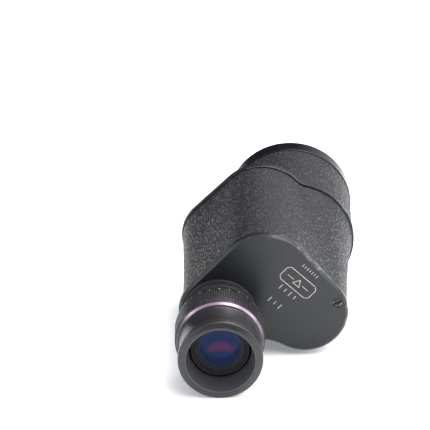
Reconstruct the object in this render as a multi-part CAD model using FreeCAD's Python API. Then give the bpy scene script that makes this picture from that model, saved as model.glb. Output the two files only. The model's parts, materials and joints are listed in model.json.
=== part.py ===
"""Porro prism monocular, 7 x 50 class, as separate solids.

The model is drawn in an optical frame and then laid down as it rests on a table.
Optical frame, in millimetres: the eyepiece axis is the Y axis, pointing from the eye to the
objective; X points from the eyepiece axis to the objective axis; Z points up; Y = 0 is the
front face of the eyepiece cover.
"""
import FreeCAD
import Part
import math
import os

Vector = FreeCAD.Vector

# ---------------------------------------------------------------- driving dimensions (mm)
AXIS_GAP = 36.0                 # eyepiece axis to objective axis
OBJECTIVE_X = AXIS_GAP
PEAK = (21.3, 16.6)             # centre of the upper corner of the prism housing

COVER_T = 3.4                   # eyepiece cover
COVER_CHAMFER = 1.2
HOUSING_REAR = 75.0             # rear mouth of the cast housing
REAR_COVER_T = 3.3
REAR_FACE = HOUSING_REAR + REAR_COVER_T
BARREL_END = 118.0
TIP = 122.3                     # front of the objective end ring
LEATHER_T = 0.7
GLUE = 0.05                     # glue line under the leatherette
WALL = 1.9

FLANGE_R, FLANGE_T = 17.05, 1.7  # land of the eyepiece mount
NECK_R, NECK_END = 16.0, -23.0
TUBE_BORE_R = 13.15
RING_R = 20.8                   # focusing ring
RING_REAR, RING_KNURL_END, RING_FRONT = -15.2, -29.4, -30.7
RING_NOSE_R = 19.4              # radius where the ring's front bevel ends
EYECUP_SPIGOT_R, SPIGOT_FRONT = 16.6, -33.3
RIM_Y, RIM_R = -49.4, 19.6      # eyecup rim
RIM_LAND = 1.5                  # how far behind the lip the rim's outside begins
RUNNING = 0.05                  # radial running clearance

SHELF_Y, SHELF_T = 36.5, 2.5
PRISM_HALF, PRISM_HALF_W = 22.5, 9.0
LEG = AXIS_GAP / 2              # each prism shifts the light by this much in X and in Z

BARREL_R, BARREL_BORE_R = 28.8, 27.4
END_RING_R = 30.0
LENS_R = 25.7

SCREW_HEAD_R = 2.3
COVER_SCREW_AT = (55.2, 3.8)
SHELF_BOSSES = ((-3.5, 13.5), (20.0, -11.2), (42.0, 19.3))
REAR_BOSSES = ((-11.3, -1.6), (18.2, 33.9), (6.1, -9.8))
SHELF_BOSS_R, REAR_BOSS_R = 3.6, 2.7

# Cross sections of the leathered housing: place on Y, eyepiece corner (x, z, r), peak radius,
# objective corner (x, z, r), radius of the valley between peak and objective, waist radius.
SECTIONS = (
    (COVER_T, (0.0, 0.0, 17.6), 21.9, (40.3, -1.4, 19.4), 250.0, 25.0),
    (38.0, (1.0, 1.2, 17.5), 21.9, (39.0, -0.9, 22.4), 60.0, 20.0),
    (60.0, (1.3, 2.2, 17.9), 22.1, (37.3, -0.3, 25.9), 20.0, 13.0),
    (HOUSING_REAR, (1.5, 3.0, 18.2), 22.2, (OBJECTIVE_X, 0.0, 29.2), 9.0, 9.0),
)
COVER_OUTLINE = ((0.0, 0.0, 18.9), 22.9, (40.3, -1.4, 19.9), 250.0, 25.0)
REAR_OUTLINE = ((1.5, 3.0, 18.7), 22.8, (OBJECTIVE_X, 0.0, END_RING_R), 8.4, 8.4)

MODEL = {}


# ---------------------------------------------------------------- plane geometry helpers
def unit(dx, dz):
    """Return the unit vector along (dx, dz)."""
    size = math.hypot(dx, dz)
    return dx / size, dz / size


def meeting(c1, r1, c2, r2, upper):
    """Return the upper or lower point where two circles meet."""
    ux, uz = unit(c2[0] - c1[0], c2[1] - c1[1])
    gap = math.hypot(c2[0] - c1[0], c2[1] - c1[1])
    along = (gap * gap + r1 * r1 - r2 * r2) / (2 * gap)
    across = math.sqrt(r1 * r1 - along * along)
    side = 1 if upper else -1
    return (c1[0] + along * ux - side * across * uz, c1[1] + along * uz + side * across * ux)


def on_circle(centre, radius, towards):
    """Return the point of a circle that lies towards another point."""
    ux, uz = unit(towards[0] - centre[0], towards[1] - centre[1])
    return (centre[0] + radius * ux, centre[1] + radius * uz)


def arc(centre, radius, start, end, y):
    """Return the arc from start to end, clockwise as the eye sees it."""
    a0 = math.atan2(start[1] - centre[1], start[0] - centre[0])
    a1 = math.atan2(end[1] - centre[1], end[0] - centre[0])
    while a1 > a0:
        a1 -= 2 * math.pi
    mid = 0.5 * (a0 + a1)
    middle = (centre[0] + radius * math.cos(mid), centre[1] + radius * math.sin(mid))
    return Part.Arc(at(start, y), at(middle, y), at(end, y)).toShape()


def hollow_arc(centre, radius, start, end, y):
    """Return the arc of a concave blend, whose centre lies outside the outline."""
    chord = (0.5 * (start[0] + end[0]), 0.5 * (start[1] + end[1]))
    middle = on_circle(centre, radius, chord)
    return Part.Arc(at(start, y), at(middle, y), at(end, y)).toShape()


def at(point, y):
    """Return the plane point (x, z) as a point of the section at y."""
    return Vector(point[0], y, point[1])


def outline(eye, peak_r, objective, valley_r, waist_r, y, grow=0.0):
    """Return the housing outline: three round corners, one straight side, two hollows."""
    eye_c, eye_r = eye[:2], eye[2] + grow
    top_r = peak_r + grow
    obj_c, obj_r = objective[:2], objective[2] + grow
    valley, waist = valley_r - grow, waist_r - grow

    ux, uz = unit(PEAK[0] - eye_c[0], PEAK[1] - eye_c[1])
    gap = math.hypot(PEAK[0] - eye_c[0], PEAK[1] - eye_c[1])
    lean = (eye_r - top_r) / gap
    lift = math.sqrt(1 - lean * lean)
    normal = (lean * ux - lift * uz, lean * uz + lift * ux)
    side_low = (eye_c[0] + eye_r * normal[0], eye_c[1] + eye_r * normal[1])
    side_high = (PEAK[0] + top_r * normal[0], PEAK[1] + top_r * normal[1])

    valley_c = meeting(PEAK, top_r + valley, obj_c, obj_r + valley, True)
    waist_c = meeting(eye_c, eye_r + waist, obj_c, obj_r + waist, False)
    peak_end = on_circle(PEAK, top_r, valley_c)
    obj_start = on_circle(obj_c, obj_r, valley_c)
    obj_end = on_circle(obj_c, obj_r, waist_c)
    eye_start = on_circle(eye_c, eye_r, waist_c)
    return Part.Wire([
        Part.LineSegment(at(side_low, y), at(side_high, y)).toShape(),
        arc(PEAK, top_r, side_high, peak_end, y),
        hollow_arc(valley_c, valley, peak_end, obj_start, y),
        arc(obj_c, obj_r, obj_start, obj_end, y),
        hollow_arc(waist_c, waist, obj_end, eye_start, y),
        arc(eye_c, eye_r, eye_start, side_low, y),
    ])


def lofted(grow):
    """Return the solid through all the housing sections, grown by the given amount."""
    wires = [outline(eye, peak, obj, valley, waist, y, grow)
             for y, eye, peak, obj, valley, waist in SECTIONS]
    return Part.makeLoft(wires, True, False)


def plate(shape_of, y0, y1, grow=0.0):
    """Return a flat plate with the given outline between two places on Y."""
    face = Part.Face(outline(*shape_of, y0, grow))
    return face.extrude(Vector(0, y1 - y0, 0))


# ---------------------------------------------------------------- turned and simple solids
def turned(axis_x, points):
    """Return the solid turned from (radius, y) points; a triple (radius, y, "bow") is an arc's middle."""
    edges = []
    pts = list(points) + [points[0]]
    index = 0
    while index < len(pts) - 1:
        here = Vector(axis_x + pts[index][0], pts[index][1], 0)
        step = 2 if len(pts[index + 1]) == 3 else 1
        there = Vector(axis_x + pts[index + step][0], pts[index + step][1], 0)
        if step == 2:
            bow = Vector(axis_x + pts[index + 1][0], pts[index + 1][1], 0)
            edges.append(Part.Arc(here, bow, there).toShape())
        else:
            edges.append(Part.LineSegment(here, there).toShape())
        index += step
    face = Part.Face(Part.Wire(edges))
    return face.revolve(Vector(axis_x, 0, 0), Vector(0, 1, 0), 360)


def ring(axis_x, inner, outer, y0, y1):
    """Return a plain ring."""
    return turned(axis_x, ((inner, y0), (outer, y0), (outer, y1), (inner, y1)))


def rod(x, z, radius, y0, y1):
    """Return a cylinder along Y."""
    return Part.makeCylinder(radius, y1 - y0, Vector(x, y0, z), Vector(0, 1, 0))


def bow_point(radius, edge_y, sag):
    """Return the point half-way up a spherical surface of the given sag."""
    sphere = (radius * radius + sag * sag) / (2 * abs(sag))
    half = radius / 2
    rise = math.sqrt(sphere ** 2 - half ** 2) - math.sqrt(sphere ** 2 - radius ** 2)
    return (half, edge_y + math.copysign(rise, sag), "bow")


def lens(axis_x, radius, y0, sag0, y1, sag1):
    """Return a lens from its two edge planes and the sag of each face at the axis."""
    points = [(0.0, y0 + sag0)]
    if sag0:
        points.append(bow_point(radius, y0, sag0))
    points += [(radius, y0), (radius, y1)]
    if sag1:
        points.append(bow_point(radius, y1, sag1))
    points.append((0.0, y1 + sag1))
    return turned(axis_x, points)


def slotted_screw(x, z, head_y, head_t, towards, shank_len, head_r, shank_r, slot_deg):
    """Return a cheese-head screw; towards is +1 or -1 for a shank that runs along +Y or -Y."""
    far = head_y + towards * head_t
    end = far + towards * shank_len
    head = rod(x, z, head_r, min(head_y, far), max(head_y, far))
    shank = rod(x, z, shank_r, min(far, end), max(far, end))
    slot = Part.makeBox(2 * head_r + 1, head_t, 0.22 * head_r, Vector(-head_r - 0.5, -head_t / 2, -0.11 * head_r))
    slot.rotate(Vector(), Vector(0, 1, 0), slot_deg)
    slot.translate(Vector(x, head_y, z))
    return head.fuse(shank).cut(slot).removeSplitter()


def keep(name, shape):
    """Store one finished sub-part."""
    solids = shape.Solids
    MODEL[name] = solids[0] if len(solids) == 1 else shape


# ---------------------------------------------------------------- housing
def housing():
    """Make the cast prism housing, its leatherette and the two covers."""
    skin = -LEATHER_T - GLUE
    cast = lofted(skin).cut(lofted(skin - WALL))
    bosses = [rod(x, z, SHELF_BOSS_R, SHELF_Y - 9, SHELF_Y) for x, z in SHELF_BOSSES]
    bosses += [rod(x, z, REAR_BOSS_R, HOUSING_REAR - 9, HOUSING_REAR) for x, z in REAR_BOSSES]
    bosses.append(rod(*COVER_SCREW_AT, REAR_BOSS_R + 0.3, COVER_T, COVER_T + 9))
    envelope = lofted(skin - WALL / 2)
    for boss in bosses:
        cast = cast.fuse(boss.common(envelope))
    holes = [rod(x, z, 0.9, SHELF_Y - 7, SHELF_Y) for x, z in SHELF_BOSSES]
    holes += [rod(x, z, 0.9, HOUSING_REAR - 7, HOUSING_REAR) for x, z in REAR_BOSSES]
    holes.append(rod(*COVER_SCREW_AT, 1.2, COVER_T, COVER_T + 7))
    for hole in holes:
        cast = cast.cut(hole)
    keep("prism_housing", cast.removeSplitter())

    band_front, band_rear = COVER_T + 1.4, HOUSING_REAR - 0.4
    band = Part.makeBox(140, band_rear - band_front, 140, Vector(-50, band_front, -60))
    leather = lofted(0.0).cut(lofted(-LEATHER_T)).common(band)
    keep("housing_leatherette", leather)

    eyepiece_cover()
    objective_cover()


def eyepiece_cover():
    """Make the flat eyepiece cover with its bevelled edge, and its screw."""
    back = plate(COVER_OUTLINE, COVER_CHAMFER, COVER_T)
    bevel = Part.makeLoft([outline(*COVER_OUTLINE, 0.0, -COVER_CHAMFER),
                           outline(*COVER_OUTLINE, COVER_CHAMFER)], True, True)
    cover = back.fuse(bevel)
    cover = cover.cut(rod(0, 0, 13.4, -1, COVER_T + 1))
    sink, head_t = 0.25, 1.6
    cover = cover.cut(rod(*COVER_SCREW_AT, SCREW_HEAD_R + 0.15, -1, sink + head_t))
    cover = cover.cut(rod(*COVER_SCREW_AT, 1.35, 0, COVER_T + 1))
    keep("eyepiece_cover", cover.removeSplitter())
    keep("cover_screw", slotted_screw(*COVER_SCREW_AT, sink, head_t, 1, 7.5, SCREW_HEAD_R, 1.15, -20))


def objective_cover():
    """Make the rear cover that carries the objective barrel, and its three screws."""
    cover = plate(REAR_OUTLINE, HOUSING_REAR, REAR_FACE - 0.6)
    edge = Part.makeLoft([outline(*REAR_OUTLINE, REAR_FACE - 0.6),
                          outline(*REAR_OUTLINE, REAR_FACE, -0.6)], True, True)
    cover = cover.fuse(edge).cut(rod(OBJECTIVE_X, 0, 26.2, 0, 200))
    head_t = 1.5
    for x, z in REAR_BOSSES:
        cover = cover.cut(rod(x, z, 2.15, REAR_FACE - head_t, REAR_FACE + 1))
        cover = cover.cut(rod(x, z, 1.05, 0, REAR_FACE))
    keep("objective_cover", cover.removeSplitter())
    for number, (x, z) in enumerate(REAR_BOSSES, 1):
        keep(f"rear_cover_screw_{number}",
             slotted_screw(x, z, REAR_FACE, head_t, -1, 7.5, 2.0, 0.85, 35 * number))


# ---------------------------------------------------------------- prisms
def block(centre, angle, x0, x1, y0, y1, z0, z1):
    """Return a box in a prism's own axes, turned and moved into the housing."""
    box = Part.makeBox(x1 - x0, y1 - y0, z1 - z0, Vector(x0, y0, z0))
    return placed(box, centre, angle)


def placed(shape, centre, angle):
    """Turn a shape about Y by the angle from +X towards +Z, and move it to the centre."""
    shape.rotate(Vector(), Vector(0, 1, 0), -angle)
    shape.translate(Vector(centre[0], 0, centre[1]))
    return shape


def prism_and_strap(name, centre, angle, face_y, side):
    """Make one right-angle prism on the shelf, the strap over its apex and two screws."""
    tip_y = face_y + side * PRISM_HALF
    gap = 0.02 * side
    corners = [Vector(-PRISM_HALF, face_y + gap, -PRISM_HALF_W), Vector(PRISM_HALF, face_y + gap, -PRISM_HALF_W),
               Vector(0.5, tip_y - 0.5 * side, -PRISM_HALF_W), Vector(-0.5, tip_y - 0.5 * side, -PRISM_HALF_W)]
    face = Part.Face(Part.makePolygon(corners + corners[:1]))
    keep(f"{name}_prism", placed(face.extrude(Vector(0, 0, 2 * PRISM_HALF_W)), centre, angle))

    sheet, half = 0.6, 3.0
    top = tip_y - 0.3 * side
    legs = (PRISM_HALF_W + 0.3, PRISM_HALF_W + 0.3 + sheet)
    foot_end = PRISM_HALF_W + 4.1
    low, high = sorted((top, top + side * sheet))
    strap = block(centre, angle, -half, half, low, high, -legs[1], legs[1])
    leg_low, leg_high = sorted((face_y, top + side * sheet))
    foot_low, foot_high = sorted((face_y, face_y + side * sheet))
    for way in (-1, 1):
        z0, z1 = sorted((way * legs[0], way * legs[1]))
        f0, f1 = sorted((way * legs[0], way * foot_end))
        strap = strap.fuse(block(centre, angle, -half, half, leg_low, leg_high, z0, z1))
        strap = strap.fuse(block(centre, angle, -half, half, foot_low, foot_high, f0, f1))
    turn = math.radians(angle)
    spots = []
    for way in (-1, 1):
        reach = way * (PRISM_HALF_W + 2.55)
        spots.append((centre[0] - reach * math.sin(turn), centre[1] + reach * math.cos(turn)))
    for x, z in spots:
        strap = strap.cut(rod(x, z, 0.75, foot_low - 1, foot_high + 1))
    keep(f"{name}_strap", strap.removeSplitter())
    return spots


def prism_group():
    """Make the shelf, both prisms with their straps, the screws and the light baffle."""
    shelf_front, shelf_rear = SHELF_Y, SHELF_Y + SHELF_T
    inset = -LEATHER_T - GLUE - WALL - 0.6
    section = SECTIONS[1][1:]
    shelf = plate(section, shelf_front, shelf_rear, inset)
    for x, z, radius in ((OBJECTIVE_X, 0, 11.0), (LEG, LEG, 9.0), (0, 0, 9.4)):
        shelf = shelf.cut(rod(x, z, radius, 0, 100))

    front_spots = prism_and_strap("front", (1.5 * LEG, 0.5 * LEG), 135, shelf_front, -1)
    rear_spots = prism_and_strap("rear", (0.5 * LEG, 0.5 * LEG), 45, shelf_rear, 1)
    number = 0
    for spots, face_y, side in ((front_spots, shelf_front, -1), (rear_spots, shelf_rear, 1)):
        for x, z in spots:
            number += 1
            shelf = shelf.cut(rod(x, z, 0.72, min(face_y, face_y - 1.9 * side), max(face_y, face_y - 1.9 * side)))
            head = face_y + side * 1.5
            screw = slotted_screw(x, z, head, 0.88, -side, 2.3, 1.35, 0.7, 25 * number)
            keep(f"strap_screw_{number}", screw)
    for number, (x, z) in enumerate(SHELF_BOSSES, 1):
        shelf = shelf.cut(rod(x, z, 1.0, 0, 100))
        keep(f"shelf_screw_{number}",
             slotted_screw(x, z, shelf_rear + 1.25, 1.23, -1, 8.0, 1.4, 0.85, 40 * number))
    keep("prism_shelf", shelf.removeSplitter())
    keep("ocular_baffle", ring(0, 9.0, 9.38, 18.0, shelf_rear))


# ---------------------------------------------------------------- objective
def objective():
    """Make the barrel, its leatherette, the end ring and the lens cell with its doublet."""
    keep("objective_barrel", turned(OBJECTIVE_X, (
        (24.2, HOUSING_REAR + 0.6), (26.15, HOUSING_REAR + 0.6), (26.15, REAR_FACE), (BARREL_R, REAR_FACE),
        (BARREL_R, BARREL_END), (BARREL_BORE_R, BARREL_END), (BARREL_BORE_R, REAR_FACE + 3), (24.2, REAR_FACE))))
    keep("barrel_leatherette", ring(OBJECTIVE_X, BARREL_R + 0.02, BARREL_R + 0.8, REAR_FACE + 0.5, 113.4))
    keep("objective_end_ring", turned(OBJECTIVE_X, (
        (BARREL_R + 0.02, 113.5), (END_RING_R - 0.4, 113.5), (END_RING_R, 113.9), (END_RING_R, TIP - 0.9),
        (END_RING_R - 0.26, TIP - 0.26, "bow"), (END_RING_R - 0.9, TIP), (27.4, TIP),
        (26.2, BARREL_END + 0.05), (BARREL_R + 0.02, BARREL_END + 0.05))))
    keep("barrel_baffle", ring(OBJECTIVE_X, 23.2, BARREL_BORE_R - 0.02, 88.0, 89.2))

    cell_rear, seat, cement, front_edge = 99.0, 100.5, 105.5, 109.0
    cement_sag = -3.2
    keep("objective_cell", turned(OBJECTIVE_X, (
        (24.4, cell_rear), (26.85, cell_rear), (26.85, 112.5), (LENS_R + 0.05, 112.5),
        (LENS_R + 0.05, seat), (24.4, seat))))
    keep("eccentric_ring", ring(OBJECTIVE_X, 26.87, BARREL_BORE_R - 0.02, 100.0, 112.0))
    keep("objective_flint_lens", lens(OBJECTIVE_X, LENS_R, seat, 0.0, cement - 0.02, cement_sag))
    keep("objective_crown_lens", lens(OBJECTIVE_X, LENS_R, cement, cement_sag, front_edge, 3.4))
    keep("objective_retaining_ring", turned(OBJECTIVE_X, (
        (LENS_R, front_edge), (LENS_R, 111.5), (25.0, 111.5), (24.6, 111.0), (24.6, front_edge + 0.3))))


# ---------------------------------------------------------------- eyepiece
def eyepiece_mount():
    """Make the fixed mount with its nut, and the pin that keeps the lens tube from turning."""
    spigot_end = COVER_T + 3.2
    mount = turned(0, (
        (11.6, spigot_end), (13.3, spigot_end), (13.3, 0), (FLANGE_R, 0), (FLANGE_R, -FLANGE_T + 0.4),
        (FLANGE_R - 0.4, -FLANGE_T), (NECK_R, -FLANGE_T), (NECK_R, NECK_END + 0.5), (NECK_R - 0.5, NECK_END),
        (TUBE_BORE_R, NECK_END), (TUBE_BORE_R, -0.9), (11.6, -0.9)))
    pin_y, pin_r = -12.0, 0.9
    pin = Part.makeCylinder(pin_r, 3.4, Vector(0, pin_y, -15.9), Vector(0, 0, 1))
    hole = Part.makeCylinder(pin_r + 0.02, 6, Vector(0, pin_y, -18), Vector(0, 0, 1))
    keep("eyepiece_mount", mount.cut(hole))
    keep("mount_nut", ring(0, 13.32, 14.6, COVER_T, COVER_T + 2.6))
    keep("guide_pin", pin)


def ocular():
    """Make the sliding lens tube with its lenses, spacer, stop, retainer and snap ring."""
    body_r, head_r = TUBE_BORE_R - RUNNING, 13.6
    bore, lip = 11.3, 10.4
    tube = turned(0, (
        (bore, -5.2), (body_r, -5.2), (body_r, -27.0), (14.6, -27.0), (14.6, -28.2), (head_r, -28.2),
        (head_r, -36.6), (bore, -36.6), (bore, -12.5), (lip, -12.5), (lip, -11.5), (bore, -11.5)))
    groove = ring(0, head_r - 0.35, head_r + 1, -31.6, -30.8)
    keyway = Part.makeBox(2.1, 10.2, 3.0, Vector(-1.05, -17.1, -15.3))
    keep("ocular_tube", tube.cut(groove).cut(keyway))
    keep("snap_ring", ring(0, head_r - 0.33, 14.15, -31.55, -30.85))
    keep("field_stop", ring(0, 8.6, bore - 0.02, -7.4, -6.4))
    lens_r = bore - 0.05
    keep("field_lens", lens(0, lens_r, -15.5, -2.6, -12.52, 0.0))
    keep("lens_spacer", turned(0, (
        (lens_r, -27.4), (lens_r, -15.52), (10.3, -16.0), (10.3, -27.3))))
    keep("eye_flint_lens", lens(0, lens_r, -31.98, 2.4, -27.42, 0.4))
    keep("eye_crown_lens", lens(0, lens_r, -35.4, -1.6, -32.0, 2.4))
    keep("eye_lens_retainer", turned(0, (
        (10.3, -35.72), (lens_r, -35.42), (lens_r, -36.62), (13.8, -36.62), (13.8, -37.6), (13.2, -37.9),
        (10.6, -37.0), (10.3, -36.7))))


def focusing_ring():
    """Make the focusing ring that turns on the lens tube, and the eyecup screwed into it."""
    web_rear, web_front = -28.5, -30.5
    well_r = 15.6
    keep("focus_ring", turned(0, (
        (NECK_R + 0.3, RING_REAR), (RING_R - 0.7, RING_REAR), (RING_R, RING_REAR - 0.7), (RING_R, RING_KNURL_END),
        (RING_NOSE_R, RING_FRONT), (EYECUP_SPIGOT_R, RING_FRONT), (EYECUP_SPIGOT_R, SPIGOT_FRONT),
        (well_r, SPIGOT_FRONT), (well_r, web_front), (13.6 + RUNNING, web_front),
        (13.6 + RUNNING, web_rear), (NECK_R + 0.3, web_rear))))
    throat_r, fit = 14.4, 0.02
    keep("eyecup", turned(0, (
        (throat_r, SPIGOT_FRONT - fit), (EYECUP_SPIGOT_R + fit, SPIGOT_FRONT - fit),
        (EYECUP_SPIGOT_R + fit, RING_FRONT - fit), (18.9, RING_FRONT - fit), (18.85, -37.0, "bow"), (19.2, -43.5),
        (RIM_R, -46.4), (RIM_R, RIM_Y + RIM_LAND), (RIM_R - 0.25, RIM_Y + 1.0, "bow"),
        (RIM_R - 0.85, RIM_Y + 0.72), (16.7, RIM_Y), (15.95, RIM_Y + 0.2, "bow"),
        (15.7, RIM_Y + 0.8), (throat_r, -38.4))))


# ---------------------------------------------------------------- lay down and export
def resting_placement():
    """Return the placement that lays the monocular down, origin under the middle of its box.

    The objective side is the taller one, so the eyecup's rim comes down until it meets the
    table as well: the tilt is set by the two points of contact.
    """
    rim_low = Vector(0, RIM_Y + RIM_LAND, -RIM_R)
    lobe_low = Vector(0, HOUSING_REAR, -END_RING_R)
    tilt = math.degrees(math.atan2(rim_low.z - lobe_low.z, lobe_low.y - rim_low.y))
    turn = FreeCAD.Placement(Vector(), FreeCAD.Rotation(Vector(1, 0, 0), tilt))
    whole = Part.makeCompound(list(MODEL.values()))
    whole.Placement = turn
    box = whole.optimalBoundingBox(True, False)
    shift = Vector(-box.Center.x, -box.Center.y, -box.ZMin)
    print(f"tilt {tilt:.4f} deg, shift {shift.x:.4f} {shift.y:.4f} {shift.z:.4f} mm")
    print(f"box {box.XLength:.2f} x {box.YLength:.2f} x {box.ZLength:.2f} mm")
    return FreeCAD.Placement(shift, FreeCAD.Rotation(Vector(1, 0, 0), tilt))


def main():
    """Build every sub-part, lay the model down and write one STEP file for each."""
    housing()
    prism_group()
    objective()
    eyepiece_mount()
    ocular()
    focusing_ring()
    rest = resting_placement()
    os.makedirs("parts", exist_ok=True)
    for name, shape in MODEL.items():
        shape = shape.copy()
        shape.transformShape(rest.toMatrix(), True)
        if not shape.isValid() or len(shape.Solids) != 1:
            print("check", name, shape.isValid(), len(shape.Solids))
        shape.exportStep(f"parts/{name}.step")
        print(f"{name:28s} {shape.Volume:10.1f} mm3")


main()
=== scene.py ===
"""Looks of a Porro prism monocular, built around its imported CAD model.

Meshes are made in an optical frame in millimetres and then laid down where the model lies.
Optical frame: the eyepiece axis is Y, from the eye to the objective; X runs from the eyepiece
axis to the objective axis; Z is up; Y = 0 is the front face of the eyepiece cover.
"""
import json
import logging
import math
from dataclasses import dataclass, field
from enum import Enum
from typing import Any, Callable, Sequence

import bmesh
import bpy
from mathutils import Matrix, Vector, noise


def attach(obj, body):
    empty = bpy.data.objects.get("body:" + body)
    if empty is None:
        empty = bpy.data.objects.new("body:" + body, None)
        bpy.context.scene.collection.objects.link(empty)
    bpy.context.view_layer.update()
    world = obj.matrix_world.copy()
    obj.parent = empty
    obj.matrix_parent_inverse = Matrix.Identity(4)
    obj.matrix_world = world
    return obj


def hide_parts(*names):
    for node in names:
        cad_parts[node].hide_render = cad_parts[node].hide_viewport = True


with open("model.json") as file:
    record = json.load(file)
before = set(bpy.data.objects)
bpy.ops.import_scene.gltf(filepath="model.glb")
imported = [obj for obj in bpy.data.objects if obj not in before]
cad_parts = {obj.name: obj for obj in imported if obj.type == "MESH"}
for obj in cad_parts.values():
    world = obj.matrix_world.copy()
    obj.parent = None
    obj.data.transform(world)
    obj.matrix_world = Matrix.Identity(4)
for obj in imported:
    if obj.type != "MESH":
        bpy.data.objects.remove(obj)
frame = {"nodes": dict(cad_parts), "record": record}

LOG = logging.getLogger("monocular")
MM = 0.001
OBJECTIVE_X = 36.0              # objective axis, from the eyepiece axis
PEAK = (21.3, 16.6)             # centre of the upper corner of the prism housing
RING_MIDDLE_Y = -29.5           # where the focusing joint sits on the eyepiece axis
SUPPORT = 0.06                  # distance of the edge loop that holds a fillet's shading
SHARP_EDGE = math.radians(33)
TURNED_STEPS = 168
GLASS_STEPS = 128
ROD_STEPS = 64
CUP_STEPS = 192
BARREL_STEPS = 220
Point2 = tuple[float, float]
Path = list[Point2]
Colour = tuple[float, float, float]
UNIT_SQUARE: Path = [(-0.5, -0.5), (0.5, -0.5), (0.5, 0.5), (-0.5, 0.5)]


class Body(Enum):
    """The moving bodies of the monocular."""
    HOUSING = "housing"
    CARRIAGE = "lens_carriage"
    RING = "focusing_ring"


class Slot(Enum):
    """The finishes that the record names."""
    HOUSING_METAL = "housing_metal"
    LEATHERETTE = "leatherette"
    COVER_PAINT = "cover_paint"
    SCREW_STEEL = "screw_steel"
    BARREL_METAL = "barrel_metal"
    INNER_BLACK = "inner_black"
    END_RING_LACQUER = "end_ring_lacquer"
    BRASS_RING = "brass_ring"
    COATED_GLASS = "coated_glass"
    EYE_GLASS = "eye_glass"
    MOUNT_LACQUER = "mount_lacquer"
    SHELF_ALUMINIUM = "shelf_aluminium"
    PRISM_GLASS = "prism_glass"
    STRAP_STEEL = "strap_steel"
    RETAINER_BLACK = "retainer_black"
    FOCUS_RING_LACQUER = "focus_ring_lacquer"
    EYECUP_PLASTIC = "eyecup_plastic"


# ---------------------------------------------------------------- node trees
class Value:
    """A number's socket that takes part in ordinary expressions."""

    def __init__(self, board: "Board", socket: bpy.types.NodeSocket) -> None:
        """Wrap one socket of a board's tree."""
        self.board = board
        self.socket = socket

    def _sum(self, operation: str, *terms: Any) -> "Value":
        """Add a Math node on the given terms."""
        node = self.board.add("ShaderNodeMath", {"operation": operation}, dict(enumerate(terms)))
        return Value(self.board, node.outputs[0])

    def __add__(self, other: Any) -> "Value":
        """self + other"""
        return self._sum("ADD", self, other)

    __radd__ = __add__

    def __sub__(self, other: Any) -> "Value":
        """self - other"""
        return self._sum("SUBTRACT", self, other)

    def __rsub__(self, other: Any) -> "Value":
        """other - self"""
        return self._sum("SUBTRACT", other, self)

    def __mul__(self, other: Any) -> "Value":
        """self * other"""
        return self._sum("MULTIPLY", self, other)

    __rmul__ = __mul__

    def __truediv__(self, other: Any) -> "Value":
        """self / other"""
        return self._sum("DIVIDE", self, other)

    def __rtruediv__(self, other: Any) -> "Value":
        """other / self"""
        return self._sum("DIVIDE", other, self)

    def root(self) -> "Value":
        """The square root."""
        return self._sum("SQRT", self)

    def lower(self, other: Any) -> "Value":
        """The smaller of two numbers."""
        return self._sum("MINIMUM", self, other)

    def higher(self, other: Any) -> "Value":
        """The larger of two numbers."""
        return self._sum("MAXIMUM", self, other)

    def rising(self, low: float, high: float) -> "Value":
        """Return a smooth step: 0 below low, 1 above high, or falling where low > high.

        Args:
            low: where the step is 0.
            high: where the step is 1.

        Returns:
            The step, from 0 to 1.
        """
        node = self.board.add("ShaderNodeMapRange", {"interpolation_type": "SMOOTHSTEP"},
                              {"Value": self, "From Min": low, "From Max": high})
        return Value(self.board, node.outputs["Result"])


class Board:
    """A node tree under construction, of a material or of a Geometry Nodes group."""

    def __init__(self, tree: bpy.types.NodeTree) -> None:
        """Start on a tree."""
        self.tree = tree

    def add(self, kind: str, settings: dict[str, Any] | None = None,
            inputs: dict[Any, Any] | None = None) -> bpy.types.Node:
        """Add one node.

        Args:
            kind: the node's type.
            settings: its properties, set first.
            inputs: values or links of its sockets, by name or number.

        Returns:
            The new node.
        """
        node = self.tree.nodes.new(kind)
        for key, setting in (settings or {}).items():
            setattr(node, key, setting)
        for key, value in (inputs or {}).items():
            self.feed(node.inputs[key], value)
        return node

    def feed(self, socket: bpy.types.NodeSocket, value: Any) -> None:
        """Link or set one socket.

        Args:
            socket: the input to feed.
            value: a Value, another socket, or a plain number, colour or vector.
        """
        if isinstance(value, Value):
            value = value.socket
        if isinstance(value, bpy.types.NodeSocket):
            self.tree.links.new(value, socket)
        elif socket.type == "RGBA" and len(value) == 3:
            socket.default_value = (*value, 1.0)
        else:
            socket.default_value = value

    def blend(self, share: Any, low: Any, high: Any) -> bpy.types.NodeSocket:
        """Return a colour between two.

        Args:
            share: 0 gives low and 1 gives high.
            low: a colour or its socket.
            high: a colour or its socket.

        Returns:
            The mixed colour's socket.
        """
        node = self.add("ShaderNodeMix", {"data_type": "RGBA"}, {0: share, 6: low, 7: high})
        return node.outputs[2]

    def parts(self, vector: bpy.types.NodeSocket) -> tuple[Value, Value, Value]:
        """Return a vector's three parts.

        Args:
            vector: the vector's socket.

        Returns:
            Its x, y and z.
        """
        node = self.add("ShaderNodeSeparateXYZ", None, {0: vector})
        return tuple(Value(self, node.outputs[i]) for i in range(3))

    def join(self, x: Any, y: Any, z: Any) -> bpy.types.NodeSocket:
        """Return the vector of three numbers."""
        return self.add("ShaderNodeCombineXYZ", None, {0: x, 1: y, 2: z}).outputs[0]


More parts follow.
